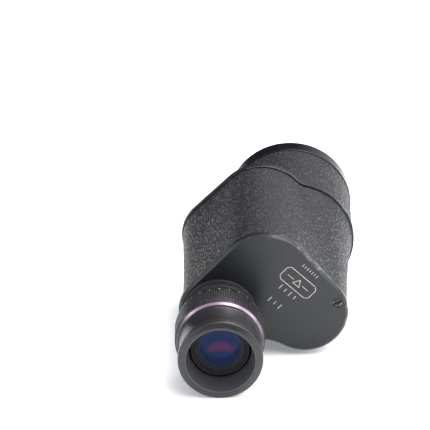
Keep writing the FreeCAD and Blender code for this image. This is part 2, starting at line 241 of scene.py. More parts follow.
class Paint(Board):
    """The node tree of one material, with the patterns that several finishes share."""

    def __init__(self, name: str) -> None:
        """Start a material that holds one Principled shader.

        Args:
            name: the material's name.
        """
        self.material = bpy.data.materials.new(name)
        self.material.use_nodes = True
        super().__init__(self.material.node_tree)
        self.tree.nodes.clear()
        self.shader = self.add("ShaderNodeBsdfPrincipled")
        self.add("ShaderNodeOutputMaterial", None, {"Surface": self.shader.outputs[0]})
        self.place = self._optical_place()

    def _optical_place(self) -> bpy.types.NodeSocket:
        """Return the place on the object in the optical frame, in millimetres.

        Returns:
            The place's socket.
        """
        laid = Placement.of_record(frame["record"])
        turn = laid.turn.transposed()
        shift = turn @ laid.origin / -MM
        coords = self.add("ShaderNodeTexCoord")
        mapping = self.add("ShaderNodeMapping", {"vector_type": "POINT"}, {
            "Vector": coords.outputs["Object"], "Location": shift,
            "Rotation": turn.to_euler("XYZ"), "Scale": (1 / MM,) * 3})
        return mapping.outputs[0]

    def grain(self, scale: float, detail: float = 2.0, rough: float = 0.5,
              where: Any = None) -> Value:
        """Return a noise from 0 to 1.

        Args:
            scale: cells per millimetre.
            detail: octaves of finer noise.
            rough: weight of the finer octaves.
            where: another place to read the noise at.

        Returns:
            The noise.
        """
        node = self.add("ShaderNodeTexNoise", None, {
            "Vector": where or self.place, "Scale": scale, "Detail": detail, "Roughness": rough})
        return Value(self, node.outputs[0])

    def pebbles(self, scale: float, where: Any = None) -> tuple[Value, Value]:
        """Return a field of round cells.

        Args:
            scale: cells per millimetre.
            where: another place to read the cells at.

        Returns:
            The distance from each cell's middle, and a number of its own for each cell.
        """
        node = self.add("ShaderNodeTexVoronoi", {"feature": "F1"},
                        {"Vector": where or self.place, "Scale": scale})
        return Value(self, node.outputs["Distance"]), self.parts(node.outputs["Color"])[0]

    def mark(self, name: str) -> Value:
        """Return a number that the mesh carries on its points."""
        node = self.add("ShaderNodeAttribute", {"attribute_type": "GEOMETRY", "attribute_name": name})
        return Value(self, node.outputs["Fac"])

    def radius(self, axis_x: float = 0.0) -> Value:
        """Return the distance from an axis along Y."""
        x, _, z = self.parts(self.place)
        return ((x - axis_x) * (x - axis_x) + z * z).root()

    def relief(self, height: Any, depth: float, under: Any = None) -> bpy.types.NodeSocket:
        """Return the normal of a relief.

        Args:
            height: the height, where 1 stands for depth.
            depth: the relief's depth in millimetres.
            under: the normal of a coarser relief below it.

        Returns:
            The normal's socket.
        """
        inputs = {"Height": height, "Distance": depth * MM, "Strength": 1.0}
        if under is not None:
            inputs["Normal"] = under
        return self.add("ShaderNodeBump", None, inputs).outputs[0]

    def finish(self, **sockets: Any) -> bpy.types.Material:
        """Set the shader's sockets and return the material.

        Args:
            **sockets: values or links, named like the sockets with _ for a space.

        Returns:
            The material.
        """
        for name, value in sockets.items():
            self.feed(self.shader.inputs[name.replace("_", " ")], value)
        return self.material


# ---------------------------------------------------------------- finishes
@dataclass(frozen=True)
class Leatherette:
    """Pebbled black leatherette, with painted shade in the hollows between its grains and painted
    highlights on their tops.
    """
    name: str
    # painted shade in the hollows between the grains
    crease_shade: Colour = (0.0020, 0.0024, 0.0032)
    grain: Colour = (0.023, 0.025, 0.029)
    # painted highlight on the tops of the grains
    grain_highlight: Colour = (0.130, 0.140, 0.158)
    pebble: float = 1.3             # mean grain width, mm
    depth: float = 0.50             # grain height, mm
    stretch: float = 1.18           # grains are a little longer along the housing
    dust: Colour = (0.24, 0.24, 0.235)

    def material(self) -> bpy.types.Material:
        """Build the finish.

        Returns:
            The material.
        """
        paint = Paint(self.name)
        x, y, z = paint.parts(paint.place)
        bend = paint.grain(0.9, 2.0) - 0.5
        where = paint.join(x + bend * 0.9, y / self.stretch + bend * 0.7, z - bend * 0.9)
        far, own = paint.pebbles(1 / self.pebble, where)
        fine, _ = paint.pebbles(2.3 / self.pebble, where)
        top = far.rising(0.55, 0.17)
        rough_top = top * 0.78 + fine.rising(0.6, 0.1) * 0.22
        # patches where the painted highlight on the grains is stronger
        worn = paint.grain(0.07, 3.0).rising(0.42, 0.7)
        # painted highlight: grain tops lightened in colour, more in some patches, in place of light
        # glinting on them
        highlight_share = far.rising(0.42, 0.10) * (own.rising(0.20, 0.95) * 0.80 + worn * 0.30)
        # painted shade: the hollows between the grains are darkened
        skin = paint.blend(top, self.crease_shade, self.grain)
        colour = paint.blend(highlight_share * 0.75, skin, self.grain_highlight)
        dust = paint.grain(2.6, 2.0).rising(0.66, 0.74) * paint.grain(0.16, 2.0).rising(0.4, 0.65)
        colour = paint.blend(dust * 0.35, colour, self.dust)
        sag = paint.relief(paint.grain(0.055, 2.0), 0.5)
        grains = paint.relief(rough_top, self.depth, sag)
        return paint.finish(Base_Color=colour, Normal=grains, IOR=1.46,
                            Roughness=0.54 - 0.26 * top + 0.08 * dust)


@dataclass(frozen=True)
class Enamel:
    """Black stoving enamel that has chipped, collected dust and worn along its edges."""
    name: str
    tone: Colour = (0.0085, 0.0095, 0.011)
    bare: Colour = (0.55, 0.54, 0.52)
    roughness: float = 0.27
    wear: float = 0.5               # share of a marked edge that is bare
    worn_from: float = -500.0       # how far up and across the wear begins, mm
    peel: float = 0.012             # waviness of the coat, mm
    chips: float = 1.0              # how bare the chips are, against the usual
    dust: Colour = (0.30, 0.29, 0.28)

    def material(self) -> bpy.types.Material:
        """Build the finish.

        Returns:
            The material.
        """
        paint = Paint(self.name)
        patch = paint.grain(0.35, 4.0, 0.6)
        edge = paint.mark("edge")
        start = 0.78 - 0.34 * self.wear
        long_rub = paint.grain(0.10, 4.0, 0.7).rising(start, start + 0.1)
        x, _, z = paint.parts(paint.place)
        exposed = (x + z * 0.7).rising(self.worn_from, self.worn_from + 20)
        rubbed = edge * exposed * long_rub * paint.grain(0.9, 3.0, 0.6).rising(0.36, 0.5)
        far, own = paint.pebbles(0.22)
        chip = (far + (paint.grain(2.2, 3.0) - 0.5) * 0.12).rising(0.055, 0.035)
        chip = chip * own.rising(0.70, 0.74) * (0.45 * self.chips)
        bare = rubbed.higher(chip)
        haze = paint.grain(0.04, 3.0).rising(0.35, 0.75)
        coat = paint.blend(haze * 0.55, self.tone, tuple(1.7 * part for part in self.tone))
        dust = paint.grain(3.4, 2.0).rising(0.70, 0.76) * paint.grain(0.12, 2.0).rising(0.45, 0.7)
        coat = paint.blend(dust * 0.3, coat, self.dust)
        colour = paint.blend(bare, coat, self.bare)
        waves = paint.relief(paint.grain(1.1, 3.0), self.peel)
        step = paint.relief(1 - bare, 0.03, waves)
        return paint.finish(Base_Color=colour, Normal=step, Metallic=bare * 0.75, IOR=1.5,
                            Roughness=self.roughness + 0.09 * patch + 0.1 * haze + 0.12 * dust)


@dataclass(frozen=True)
class AgedAnodising:
    """Black anodised aluminium whose dye has turned violet on its front bevel, painted lighter towards the
    top as a painted highlight.
    """
    name: str
    tone: Colour = (0.009, 0.0085, 0.010)
    # violet of the aged dye on the bevel, with a painted highlight at the top
    fade_and_highlight: Colour = (0.36, 0.27, 0.36)
    rubbed: Colour = (0.060, 0.057, 0.060)      # on the tops of the ribs
    grime: Colour = (0.012, 0.010, 0.013)
    roughness: float = 0.18

    def material(self) -> bpy.types.Material:
        """Build the finish.

        Returns:
            The material.
        """
        paint = Paint(self.name)
        edge = paint.mark("edge")
        cloud = paint.grain(0.22, 4.0, 0.6)
        x, y, z = paint.parts(paint.place)
        turning = paint.join(paint.radius() * 9.0, y * 9.0, 0.0)
        lines = paint.grain(1.0, 3.0, 0.6, turning)
        # painted highlight: the violet is made strongest towards the top and right of the ring, where the
        # light falls
        handled = (z + x * 0.15).rising(4.0, 15.0)
        band = edge.rising(0.5, 0.9)
        fade_and_highlight = (band * (0.12 + 0.72 * handled + 0.4 * (cloud - 0.4))).lower(1.0)
        rubbed = edge.rising(0.05, 0.3) * (1 - band)
        colour = paint.blend(rubbed * (0.6 + 0.4 * cloud), self.tone, self.rubbed)
        colour = paint.blend(fade_and_highlight, colour, self.fade_and_highlight)
        colour = paint.blend(lines.rising(0.45, 0.8) * 0.25, colour, self.grime)
        return paint.finish(Base_Color=colour, Metallic=0.15 + 0.8 * fade_and_highlight,
                            Roughness=self.roughness + 0.14 * cloud + 0.06 * lines,
                            Normal=paint.relief(lines, 0.006))


@dataclass(frozen=True)
class MouldedPlastic:
    """Satin black plastic, turned after moulding, with its rim made glossy by handling."""
    name: str
    tone: Colour = (0.010, 0.0105, 0.012)
    handled: Colour = (0.020, 0.021, 0.023)
    inside: Colour = (0.070, 0.072, 0.082)
    speck: Colour = (0.30, 0.29, 0.28)
    roughness: float = 0.22
    relief: float = 0.010

    def material(self) -> bpy.types.Material:
        """Build the finish.

        Returns:
            The material.
        """
        paint = Paint(self.name)
        _, y, _ = paint.parts(paint.place)
        cloud = paint.grain(0.13, 4.0, 0.6)
        rings = paint.grain(1.0, 3.0, 0.6, paint.join(paint.radius() * 4.0, y * 4.0, 0.0))
        speck = paint.grain(3.1, 1.0).rising(0.72, 0.77) * cloud.rising(0.45, 0.6)
        colour = paint.blend((paint.mark("edge") * 0.7 + cloud * 0.5).lower(1.0), self.tone, self.handled)
        inside = paint.radius().rising(16.4, 15.9)
        colour = paint.blend(inside * (0.55 + 0.45 * rings), colour, self.inside)
        colour = paint.blend(speck * 0.4, colour, self.speck)
        fine = paint.relief(rings * 0.7 + paint.grain(2.4, 2.0) * 0.3, self.relief)
        return paint.finish(Base_Color=colour, Normal=fine, IOR=1.5,
                            Roughness=self.roughness + 0.12 * cloud + 0.06 * rings)


@dataclass(frozen=True)
class TurnedMetal:
    """Metal with fine lathe lines round one axis, plain or blackened."""
    name: str
    tone: Colour
    dull: Colour
    axis_x: float = 0.0
    metallic: float = 1.0
    roughness: float = 0.3
    lines: float = 0.008            # depth of the lathe lines, mm
    bare: Colour = (0.50, 0.49, 0.47)

    def material(self) -> bpy.types.Material:
        """Build the finish.

        Returns:
            The material.
        """
        paint = Paint(self.name)
        _, y, _ = paint.parts(paint.place)
        around = paint.join(paint.radius(self.axis_x) * 8.0, y * 8.0, 0.0)
        lathe = paint.grain(1.0, 3.0, 0.6, around)
        stain = paint.grain(0.3, 4.0, 0.6).rising(0.35, 0.75)
        colour = paint.blend(stain, self.tone, self.dull)
        rubbed = paint.mark("edge") * paint.grain(0.9, 3.0).rising(0.45, 0.6)
        colour = paint.blend(rubbed, colour, self.bare)
        return paint.finish(Base_Color=colour, Metallic=self.metallic,
                            Roughness=self.roughness + 0.15 * stain + 0.05 * lathe,
                            Normal=paint.relief(lathe, self.lines))


@dataclass(frozen=True)
class EyeGlass:
    """Coated eye lens, deep blue round its rim, with a painted wine red reflection and a painted edge
    highlight.
    """
    name: str
    rim: Colour = (0.023, 0.037, 0.098)
    middle: Colour = (0.016, 0.028, 0.080)
    # painted reflection: the wine red half moon that the inner lenses reflect
    painted_ghost: Colour = (0.095, 0.026, 0.080)
    ghost_r: float = 7.0
    ghost_z: float = -1.7           # the straight lower side of the painted reflection
    # painted highlight: the pale line round the lens's edge
    edge_highlight: Colour = (0.11, 0.13, 0.19)

    def material(self) -> bpy.types.Material:
        """Build the finish.

        Returns:
            The material.
        """
        paint = Paint(self.name)
        x, _, z = paint.parts(paint.place)
        near = paint.radius().rising(10.6, 4.0)
        colour = paint.blend(near, self.rim, self.middle)
        # painted reflection: a wine red half moon in the upper middle of the lens
        lifted = z - self.ghost_z
        reach = (x * x + lifted * lifted * 1.25).root() + (paint.grain(0.5, 3.0) - 0.5) * 1.6
        reflected_half_moon = reach.rising(self.ghost_r, self.ghost_r - 1.5) * lifted.rising(-0.5, 1.1)
        core = reach.rising(3.2, 1.2) * 0.45
        colour = paint.blend(reflected_half_moon * (1 - core), colour, self.painted_ghost)
        # painted highlight: a pale line round the edge
        edge = paint.radius().rising(9.3, 9.7)
        colour = paint.blend(edge * 0.8, colour, self.edge_highlight)
        return paint.finish(Base_Color=colour, Roughness=0.035, IOR=1.52,
                            Specular_Tint=(0.30, 0.40, 0.95), Specular_IOR_Level=0.2,
                            Normal=paint.relief(paint.grain(0.2, 2.0), 0.004))


@dataclass(frozen=True)
class CoatedGlass:
    """Lens glass with a single blooming layer that reflects blue to violet."""
    name: str
    axis_x: float = 0.0
    edge_r: float = 24.6
    deep: Colour = (0.010, 0.012, 0.034)
    edge: Colour = (0.022, 0.016, 0.050)
    dust: Colour = (0.35, 0.35, 0.35)

    def material(self) -> bpy.types.Material:
        """Build the finish.

        Returns:
            The material.
        """
        paint = Paint(self.name)
        far = paint.radius(self.axis_x).rising(0.35 * self.edge_r, self.edge_r)
        colour = paint.blend(far, self.deep, self.edge)
        dust = paint.grain(2.2, 2.0).rising(0.70, 0.78) * paint.grain(0.2, 2.0).rising(0.4, 0.7)
        colour = paint.blend(dust * 0.3, colour, self.dust)
        return paint.finish(Base_Color=colour, Roughness=0.03 + 0.2 * dust, IOR=1.6,
                            Specular_Tint=(0.55, 0.45, 1.0), Specular_IOR_Level=0.7)


@dataclass(frozen=True)
class PrismGlass:
    """Clear crown glass with ground sides."""
    name: str
    body: Colour = (0.55, 0.62, 0.60)
    ground: Colour = (0.70, 0.73, 0.72)

    def material(self) -> bpy.types.Material:
        """Build the finish.

        Returns:
            The material.
        """
        paint = Paint(self.name)
        cloud = paint.grain(1.5, 3.0).rising(0.4, 0.7)
        return paint.finish(Base_Color=paint.blend(cloud, self.body, self.ground), IOR=1.52,
                            Roughness=0.06 + 0.3 * cloud)


@dataclass(frozen=True)
class FlockedBlack:
    """Matt black inside paint that soaks up stray light."""
    name: str
    tone: Colour = (0.010, 0.010, 0.011)
    lit: Colour = (0.022, 0.022, 0.023)

    def material(self) -> bpy.types.Material:
        """Build the finish.

        Returns:
            The material.
        """
        paint = Paint(self.name)
        cloud = paint.grain(2.0, 4.0, 0.6)
        return paint.finish(Base_Color=paint.blend(cloud, self.tone, self.lit), IOR=1.4,
                            Roughness=0.75 + 0.15 * cloud, Normal=paint.relief(cloud, 0.02))


@dataclass(frozen=True)
class InlayPaint:
    """Off-white paint rubbed into the engraved marks."""
    name: str
    tone: Colour = (0.50, 0.50, 0.49)
    thin: Colour = (0.20, 0.20, 0.20)

    def material(self) -> bpy.types.Material:
        """Build the finish.

        Returns:
            The material.
        """
        paint = Paint(self.name)
        gap = paint.grain(1.7, 3.0, 0.6).rising(0.45, 0.68)
        return paint.finish(Base_Color=paint.blend(gap, self.tone, self.thin),
                            Roughness=0.55 + 0.2 * gap, Normal=paint.relief(gap, 0.01))


FINISHES = {
    Slot.HOUSING_METAL: Enamel("housing_enamel", tone=(0.012, 0.012, 0.013), roughness=0.42),
    Slot.LEATHERETTE: Leatherette("black_leatherette"),
    Slot.COVER_PAINT: Enamel("cover_enamel", tone=(0.0060, 0.0076, 0.0098), wear=0.72,
                             bare=(0.34, 0.335, 0.33), worn_from=24.0),
    Slot.SCREW_STEEL: TurnedMetal("blackened_screw_steel", (0.028, 0.028, 0.031), (0.05, 0.048, 0.045),
                                  metallic=0.6, roughness=0.34),
    Slot.BARREL_METAL: Enamel("barrel_enamel", roughness=0.4),
    Slot.INNER_BLACK: FlockedBlack("inner_black"),
    Slot.END_RING_LACQUER: Enamel("end_ring_gloss", tone=(0.004, 0.0045, 0.006), roughness=0.13,
                                  wear=0.25, peel=0.008, chips=0.5),
    Slot.BRASS_RING: TurnedMetal("turned_brass", (0.62, 0.45, 0.20), (0.36, 0.25, 0.11), OBJECTIVE_X),
    Slot.COATED_GLASS: CoatedGlass("coated_glass", OBJECTIVE_X),
    Slot.EYE_GLASS: EyeGlass("eye_lens_coating"),
    Slot.MOUNT_LACQUER: Enamel("mount_enamel", tone=(0.016, 0.016, 0.018), roughness=0.3, wear=0.45,
                               peel=0.006, chips=0.3),
    Slot.SHELF_ALUMINIUM: TurnedMetal("milled_aluminium", (0.70, 0.71, 0.72), (0.42, 0.43, 0.44)),
    Slot.PRISM_GLASS: PrismGlass("prism_glass"),
    Slot.STRAP_STEEL: TurnedMetal("spring_steel", (0.48, 0.49, 0.52), (0.26, 0.27, 0.30), lines=0.002),
    Slot.RETAINER_BLACK: TurnedMetal("retainer_black", (0.007, 0.007, 0.008), (0.016, 0.016, 0.018),
                                     metallic=0.3, roughness=0.45),
    Slot.FOCUS_RING_LACQUER: AgedAnodising("aged_anodising"),
    Slot.EYECUP_PLASTIC: MouldedPlastic("eyecup_plastic"),
}


# ---------------------------------------------------------------- place and plane geometry
@dataclass(frozen=True)
class Placement:
    """Where the optical frame lies in the model's own frame, in metres."""
    origin: Vector
    turn: Matrix

    @classmethod
    def of_record(cls, record: dict[str, Any]) -> "Placement":
        """Work the placement out from the focusing joint.

        Args:
            record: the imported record.

        Returns:
            The placement.
        """
        joint = next(j for j in record["behaviour"]["joints"] if j["name"] == "focus_turn")
        along = Vector(joint["axis"]).normalized()
        across = Vector((1.0, 0.0, 0.0))
        up = across.cross(along)
        turn = Matrix((across, along, up)).transposed()
        return cls(Vector(joint["pos_m"]) - along * RING_MIDDLE_Y * MM, turn)

    def matrix(self) -> Matrix:
        """Return the matrix from optical millimetres to the model's metres."""
        return Matrix.Translation(self.origin) @ self.turn.to_4x4() @ Matrix.Scale(MM, 4)

    def point(self, x: float, y: float, z: float) -> Vector:
        """Return an optical point in the model's frame."""
        return self.matrix() @ Vector((x, y, z))


def circles_meet(c1: Point2, r1: float, c2: Point2, r2: float, upper: bool) -> Point2:
    """Return where two circles meet.

    Args:
        c1: centre of the first circle.
        r1: its radius.
        c2: centre of the second circle.
        r2: its radius.
        upper: whether the upper or the lower of the two points is wanted.

    Returns:
        The point.
    """
    gap = math.dist(c1, c2)
    ux, uz = (c2[0] - c1[0]) / gap, (c2[1] - c1[1]) / gap
    along = (gap * gap + r1 * r1 - r2 * r2) / (2 * gap)
    across = math.sqrt(r1 * r1 - along * along) * (1 if upper else -1)
    return (c1[0] + along * ux - across * uz, c1[1] + along * uz + across * ux)


def on_circle(centre: Point2, radius: float, target: Point2) -> Point2:
    """Return the point of a circle that lies towards a target."""
    gap = math.dist(centre, target)
    return tuple(c + radius * (t - c) / gap for c, t in zip(centre, target))


def swept(centre: Point2, radius: float, start: Point2, end: Point2, shares: Sequence[float],
          clockwise: bool) -> Path:
    """Return points along an arc, without its end.

    Args:
        centre: centre of the arc.
        radius: its radius.
        start: where it starts.
        end: where it ends.
        shares: the points' places, from 0 at the start to 1 at the end.
        clockwise: whether a round corner or, the other way, a hollow is drawn.

    Returns:
        The points.
    """
    a0 = math.atan2(start[1] - centre[1], start[0] - centre[0])
    a1 = math.atan2(end[1] - centre[1], end[0] - centre[0])
    turn = (a1 - a0) % (2 * math.pi)
    if clockwise:
        turn -= 2 * math.pi
    angles = [a0 + share * turn for share in shares]
    return [(centre[0] + radius * math.cos(a), centre[1] + radius * math.sin(a)) for a in angles]


def even(steps: int) -> list[float]:
    """Return evenly spaced shares from 0, without 1."""
    return [i / steps for i in range(steps)]


@dataclass(frozen=True)
class Outline:
    """A section of the prism housing: three round corners, a straight side, two hollows."""
    eye: tuple[float, float, float]
    peak_r: float
    objective: tuple[float, float, float]
    valley_r: float
    waist_r: float
    seam: tuple[float, ...] = (0, .12, .24, .36, .45, .488, .5, .512, .55, .64, .76, .88)
    facets: tuple[int, int, int, int, int] = (18, 30, 22, 52, 34)   # side, peak, valley, lobe, nose

    def path(self, grow: float = 0.0) -> Path:
        """Return the outline's points.

        Args:
            grow: how far outside the drawn outline the points lie.

        Returns:
            The points, clockwise as the eye sees them.
        """
        eye_c, eye_r = self.eye[:2], self.eye[2] + grow
        obj_c, obj_r = self.objective[:2], self.objective[2] + grow
        top_r, valley, waist = self.peak_r + grow, self.valley_r - grow, self.waist_r - grow
        gap = math.dist(eye_c, PEAK)
        ux, uz = (PEAK[0] - eye_c[0]) / gap, (PEAK[1] - eye_c[1]) / gap
        lean = (eye_r - top_r) / gap
        lift = math.sqrt(1 - lean * lean)
        normal = (lean * ux - lift * uz, lean * uz + lift * ux)
        low = (eye_c[0] + eye_r * normal[0], eye_c[1] + eye_r * normal[1])
        high = (PEAK[0] + top_r * normal[0], PEAK[1] + top_r * normal[1])
        valley_c = circles_meet(PEAK, top_r + valley, obj_c, obj_r + valley, True)
        waist_c = circles_meet(eye_c, eye_r + waist, obj_c, obj_r + waist, False)
        peak_end, obj_start = on_circle(PEAK, top_r, valley_c), on_circle(obj_c, obj_r, valley_c)
        obj_end, eye_start = on_circle(obj_c, obj_r, waist_c), on_circle(eye_c, eye_r, waist_c)
        straight, peak, hollow, lobe, nose = (even(steps) for steps in self.facets)
        side = [(low[0] + t * (high[0] - low[0]), low[1] + t * (high[1] - low[1])) for t in straight]
        return (side + swept(PEAK, top_r, high, peak_end, peak, True)
                + swept(valley_c, valley, peak_end, obj_start, hollow, False)
                + swept(obj_c, obj_r, obj_start, obj_end, lobe, True)
                + swept(waist_c, waist, obj_end, eye_start, self.seam, False)
                + swept(eye_c, eye_r, eye_start, low, nose, True))


@dataclass(frozen=True)
class HousingForm:
    """The leathered surface of the housing: a smooth loft through four sections."""
    stations: tuple[float, ...] = (3.4, 38.0, 60.0, 75.0)
    sections: tuple[Outline, ...] = (
        Outline((0.0, 0.0, 17.6), 21.9, (40.3, -1.4, 19.4), 250.0, 25.0),
        Outline((1.0, 1.2, 17.5), 21.9, (39.0, -0.9, 22.4), 60.0, 20.0),
        Outline((1.3, 2.2, 17.9), 22.1, (37.3, -0.3, 25.9), 20.0, 13.0),
        Outline((1.5, 3.0, 18.2), 22.2, (OBJECTIVE_X, 0.0, 29.2), 9.0, 9.0),
    )

    def loop(self, y: float, grow: float) -> list[Vector]:
        """Return the section at one place.

        Args:
            y: the place along the axis.
            grow: how far outside the leathered surface it lies.

        Returns:
            The section's points.
        """
        shares = []
        for one in self.stations:
            others = [s for s in self.stations if s != one]
            shares.append(math.prod((y - s) / (one - s) for s in others))
        drawn = [section.path(grow) for section in self.sections]
        return [Vector((sum(w * p[0] for w, p in zip(shares, same)), y,
                        sum(w * p[1] for w, p in zip(shares, same)))) for same in zip(*drawn)]


COVER_OUTLINE = Outline((0.0, 0.0, 18.9), 22.9, (40.3, -1.4, 19.9), 250.0, 25.0)
FRONT_OUTLINE = Outline((1.5, 3.0, 18.7), 22.8, (OBJECTIVE_X, 0.0, 30.0), 8.4, 8.4)


def softened(corners: Sequence[tuple[float, ...]], closed: bool = True, steps: int = 4) -> Path:
    """Return a path through corners, each rounded by its own radius.

    Args:
        corners: (a, b) for a crisp corner, or (a, b, radius).
        closed: whether the path comes back to its start.
        steps: facets of each rounded corner.

    Returns:
        The path's points.
    """
    path: Path = []
    last = len(corners) - 1
    for index, corner in enumerate(corners):
        here = Vector(corner[:2])
        radius = corner[2] if len(corner) > 2 else 0.0
        if radius <= 0 or (not closed and index in (0, last)):
            path.append(tuple(here))
            continue
        back = Vector(corners[index - 1][:2]) - here
        on = Vector(corners[(index + 1) % len(corners)][:2]) - here
        half = back.angle(on) / 2
        reach = min(radius / math.tan(half), 0.46 * back.length, 0.46 * on.length)
        radius = reach * math.tan(half)
        back_way, on_way = back.normalized(), on.normalized()
        centre = here + (back_way + on_way).normalized() * (radius / math.sin(half))
        start, end = here + back_way * reach - centre, here + on_way * reach - centre
        a0 = math.atan2(start.y, start.x)
        turn = (math.atan2(end.y, end.x) - a0 + math.pi) % (2 * math.pi) - math.pi
        if back.length > 2.2 * (reach + SUPPORT):
            path.append(tuple(here + back_way * (reach + SUPPORT)))
        angles = [a0 + turn * i / steps for i in range(steps + 1)]
        path += [(centre.x + radius * math.cos(a), centre.y + radius * math.sin(a)) for a in angles]
        if on.length > 2.2 * (reach + SUPPORT):
            path.append(tuple(here + on_way * (reach + SUPPORT)))
    return path


def grooved(start: Point2, end: Point2, count: int, depth: float, margin: float = 0.08) -> Path:
    """Return a profile line with V grooves cut to its right.

    Args:
        start: (radius, y) where the line starts.
        end: (radius, y) where it ends.
        count: number of grooves.
        depth: depth of each groove.
        margin: plain share of the line at each end.

    Returns:
        The points between start and end.
    """
    first, run = Vector(start), Vector(end) - Vector(start)
    right = Vector((run.y, -run.x)).normalized() * depth
    pitch = (1 - 2 * margin) / count
    path: Path = []
    for index in range(count):
        at = margin + index * pitch
        path.append(tuple(first + run * (at + 0.18 * pitch)))
        path.append(tuple(first + run * (at + 0.5 * pitch) + right))
        path.append(tuple(first + run * (at + 0.82 * pitch)))
    return path


def dome(radius: float, edge_y: float, sag: float, steps: int = 14) -> Path:
    """Return a lens surface's profile.

    Args:
        radius: radius of the lens.
        edge_y: where its edge is.
        sag: height of its middle over its edge, along Y.
        steps: number of facets.

    Returns:
        Points from the axis to the edge.
    """
    sphere = (radius * radius + sag * sag) / (2 * abs(sag))
    path = []
    for index in range(steps + 1):
        r = radius * index / steps
        rise = math.sqrt(sphere ** 2 - r * r) - math.sqrt(sphere ** 2 - radius ** 2)
        path.append((r, edge_y + math.copysign(rise, sag)))
    return path


# ---------------------------------------------------------------- mesh making
def mesh_of(name: str, points: Sequence[Vector], faces: Sequence[Sequence[int]],
            edge: Sequence[float] | None = None) -> bpy.types.Mesh:
    """Return a closed mesh whose faces point outwards.

    Args:
        name: the mesh's name.
        points: its vertices.
        faces: its faces, by vertex numbers.
        edge: how exposed each vertex is to wear, from 0 to 1.

    Returns:
        The mesh.
    """
    mesh = bpy.data.meshes.new(name)
    mesh.from_pydata([tuple(p) for p in points], [], [tuple(f) for f in faces])
    marks = mesh.attributes.new("edge", "FLOAT", "POINT")
    marks.data.foreach_set("value", list(edge) if edge else [0.0] * len(points))
    work = bmesh.new()
    work.from_mesh(mesh)
    bmesh.ops.recalc_face_normals(work, faces=work.faces)
    work.to_mesh(mesh)
    work.free()
    return mesh


def skinned(name: str, loops: Sequence[Sequence[Vector]], closed: bool,
            edge: Sequence[float] | None = None) -> bpy.types.Mesh:
    """Return the surface through matching loops.

    Args:
        name: the mesh's name.
        loops: loops of equally many points.
        closed: whether the last loop joins the first; else both ends are capped.
        edge: how exposed each loop is to wear.

    Returns:
        The mesh.
    """
    count = len(loops[0])
    points = [p for loop in loops for p in loop]
    faces = []
    for a in range(len(loops) if closed else len(loops) - 1):
        b = (a + 1) % len(loops)
        for i in range(count):
            j = (i + 1) % count
            faces.append((a * count + i, a * count + j, b * count + j, b * count + i))
    if not closed:
        faces.append(range(count))
        faces.append(range((len(loops) - 1) * count, len(loops) * count))
    marks = [m for m in edge for _ in range(count)] if edge else None
    return mesh_of(name, points, faces, marks)


def turned(name: str, profile: Path, axis_x: float = 0.0, steps: int = TURNED_STEPS,
           wear: Callable[[float, float], float] | None = None) -> bpy.types.Mesh:
    """Return the solid turned from a profile.

    Args:
        name: the mesh's name.
        profile: (radius, y) points; a solid that reaches the axis starts and ends on it.
        axis_x: place of the axis.
        steps: facets round the axis.
        wear: a function of (radius, y) that says how exposed a point is, from 0 to 1.

    Returns:
        The mesh.
    """
    points: list[Vector] = []
    rings: list[list[int]] = []
    marks: list[float] = []
    for radius, y in profile:
        exposed = wear(radius, y) if wear else 0.0
        around = 1 if radius < 1e-6 else steps
        rings.append(list(range(len(points), len(points) + around)))
        for i in range(around):
            a = 2 * math.pi * i / steps
            points.append(Vector((axis_x + radius * math.cos(a), y, radius * math.sin(a))))
            marks.append(exposed)
    faces = []
    solid = len(rings[0]) == 1
    for index in range(len(rings) - 1 if solid else len(rings)):
        one, two = rings[index], rings[(index + 1) % len(rings)]
        for i in range(steps):
            j = (i + 1) % steps
            corners = [one[i % len(one)], one[j % len(one)], two[j % len(two)], two[i % len(two)]]
            faces.append(list(dict.fromkeys(corners)))
    return mesh_of(name, points, faces, marks)


def carved(mesh: bpy.types.Mesh, cutters: Sequence[bpy.types.Mesh]) -> bpy.types.Mesh:
    """Return a mesh with others taken out of it.

    Args:
        mesh: what is cut.
        cutters: the volumes taken away.

    Returns:
        The cut mesh.
    """
    blank = bpy.data.objects.new("blank", mesh)
    bpy.context.scene.collection.objects.link(blank)
    tools = []
    for cutter in cutters:
        tool = bpy.data.objects.new("cutter", cutter)
        bpy.context.scene.collection.objects.link(tool)
        tools.append(tool)
        cut = blank.modifiers.new("cut", "BOOLEAN")
        cut.operation, cut.solver, cut.object = "DIFFERENCE", "EXACT", tool
    result = plain_mesh(blank, mesh.name)
    for tool in tools:
        bpy.data.objects.remove(tool)
    return result


def plain_mesh(made: bpy.types.Object, name: str) -> bpy.types.Mesh:
    """Return an object's evaluated mesh, and remove the object and its modifiers.

    Args:
        made: the object.
        name: the new mesh's name.

    Returns:
        The plain mesh.
    """
    seen = made.evaluated_get(bpy.context.evaluated_depsgraph_get())
    mesh = bpy.data.meshes.new_from_object(seen)
    mesh.name = name
    made.modifiers.clear()
    bpy.data.objects.remove(made)
    return mesh


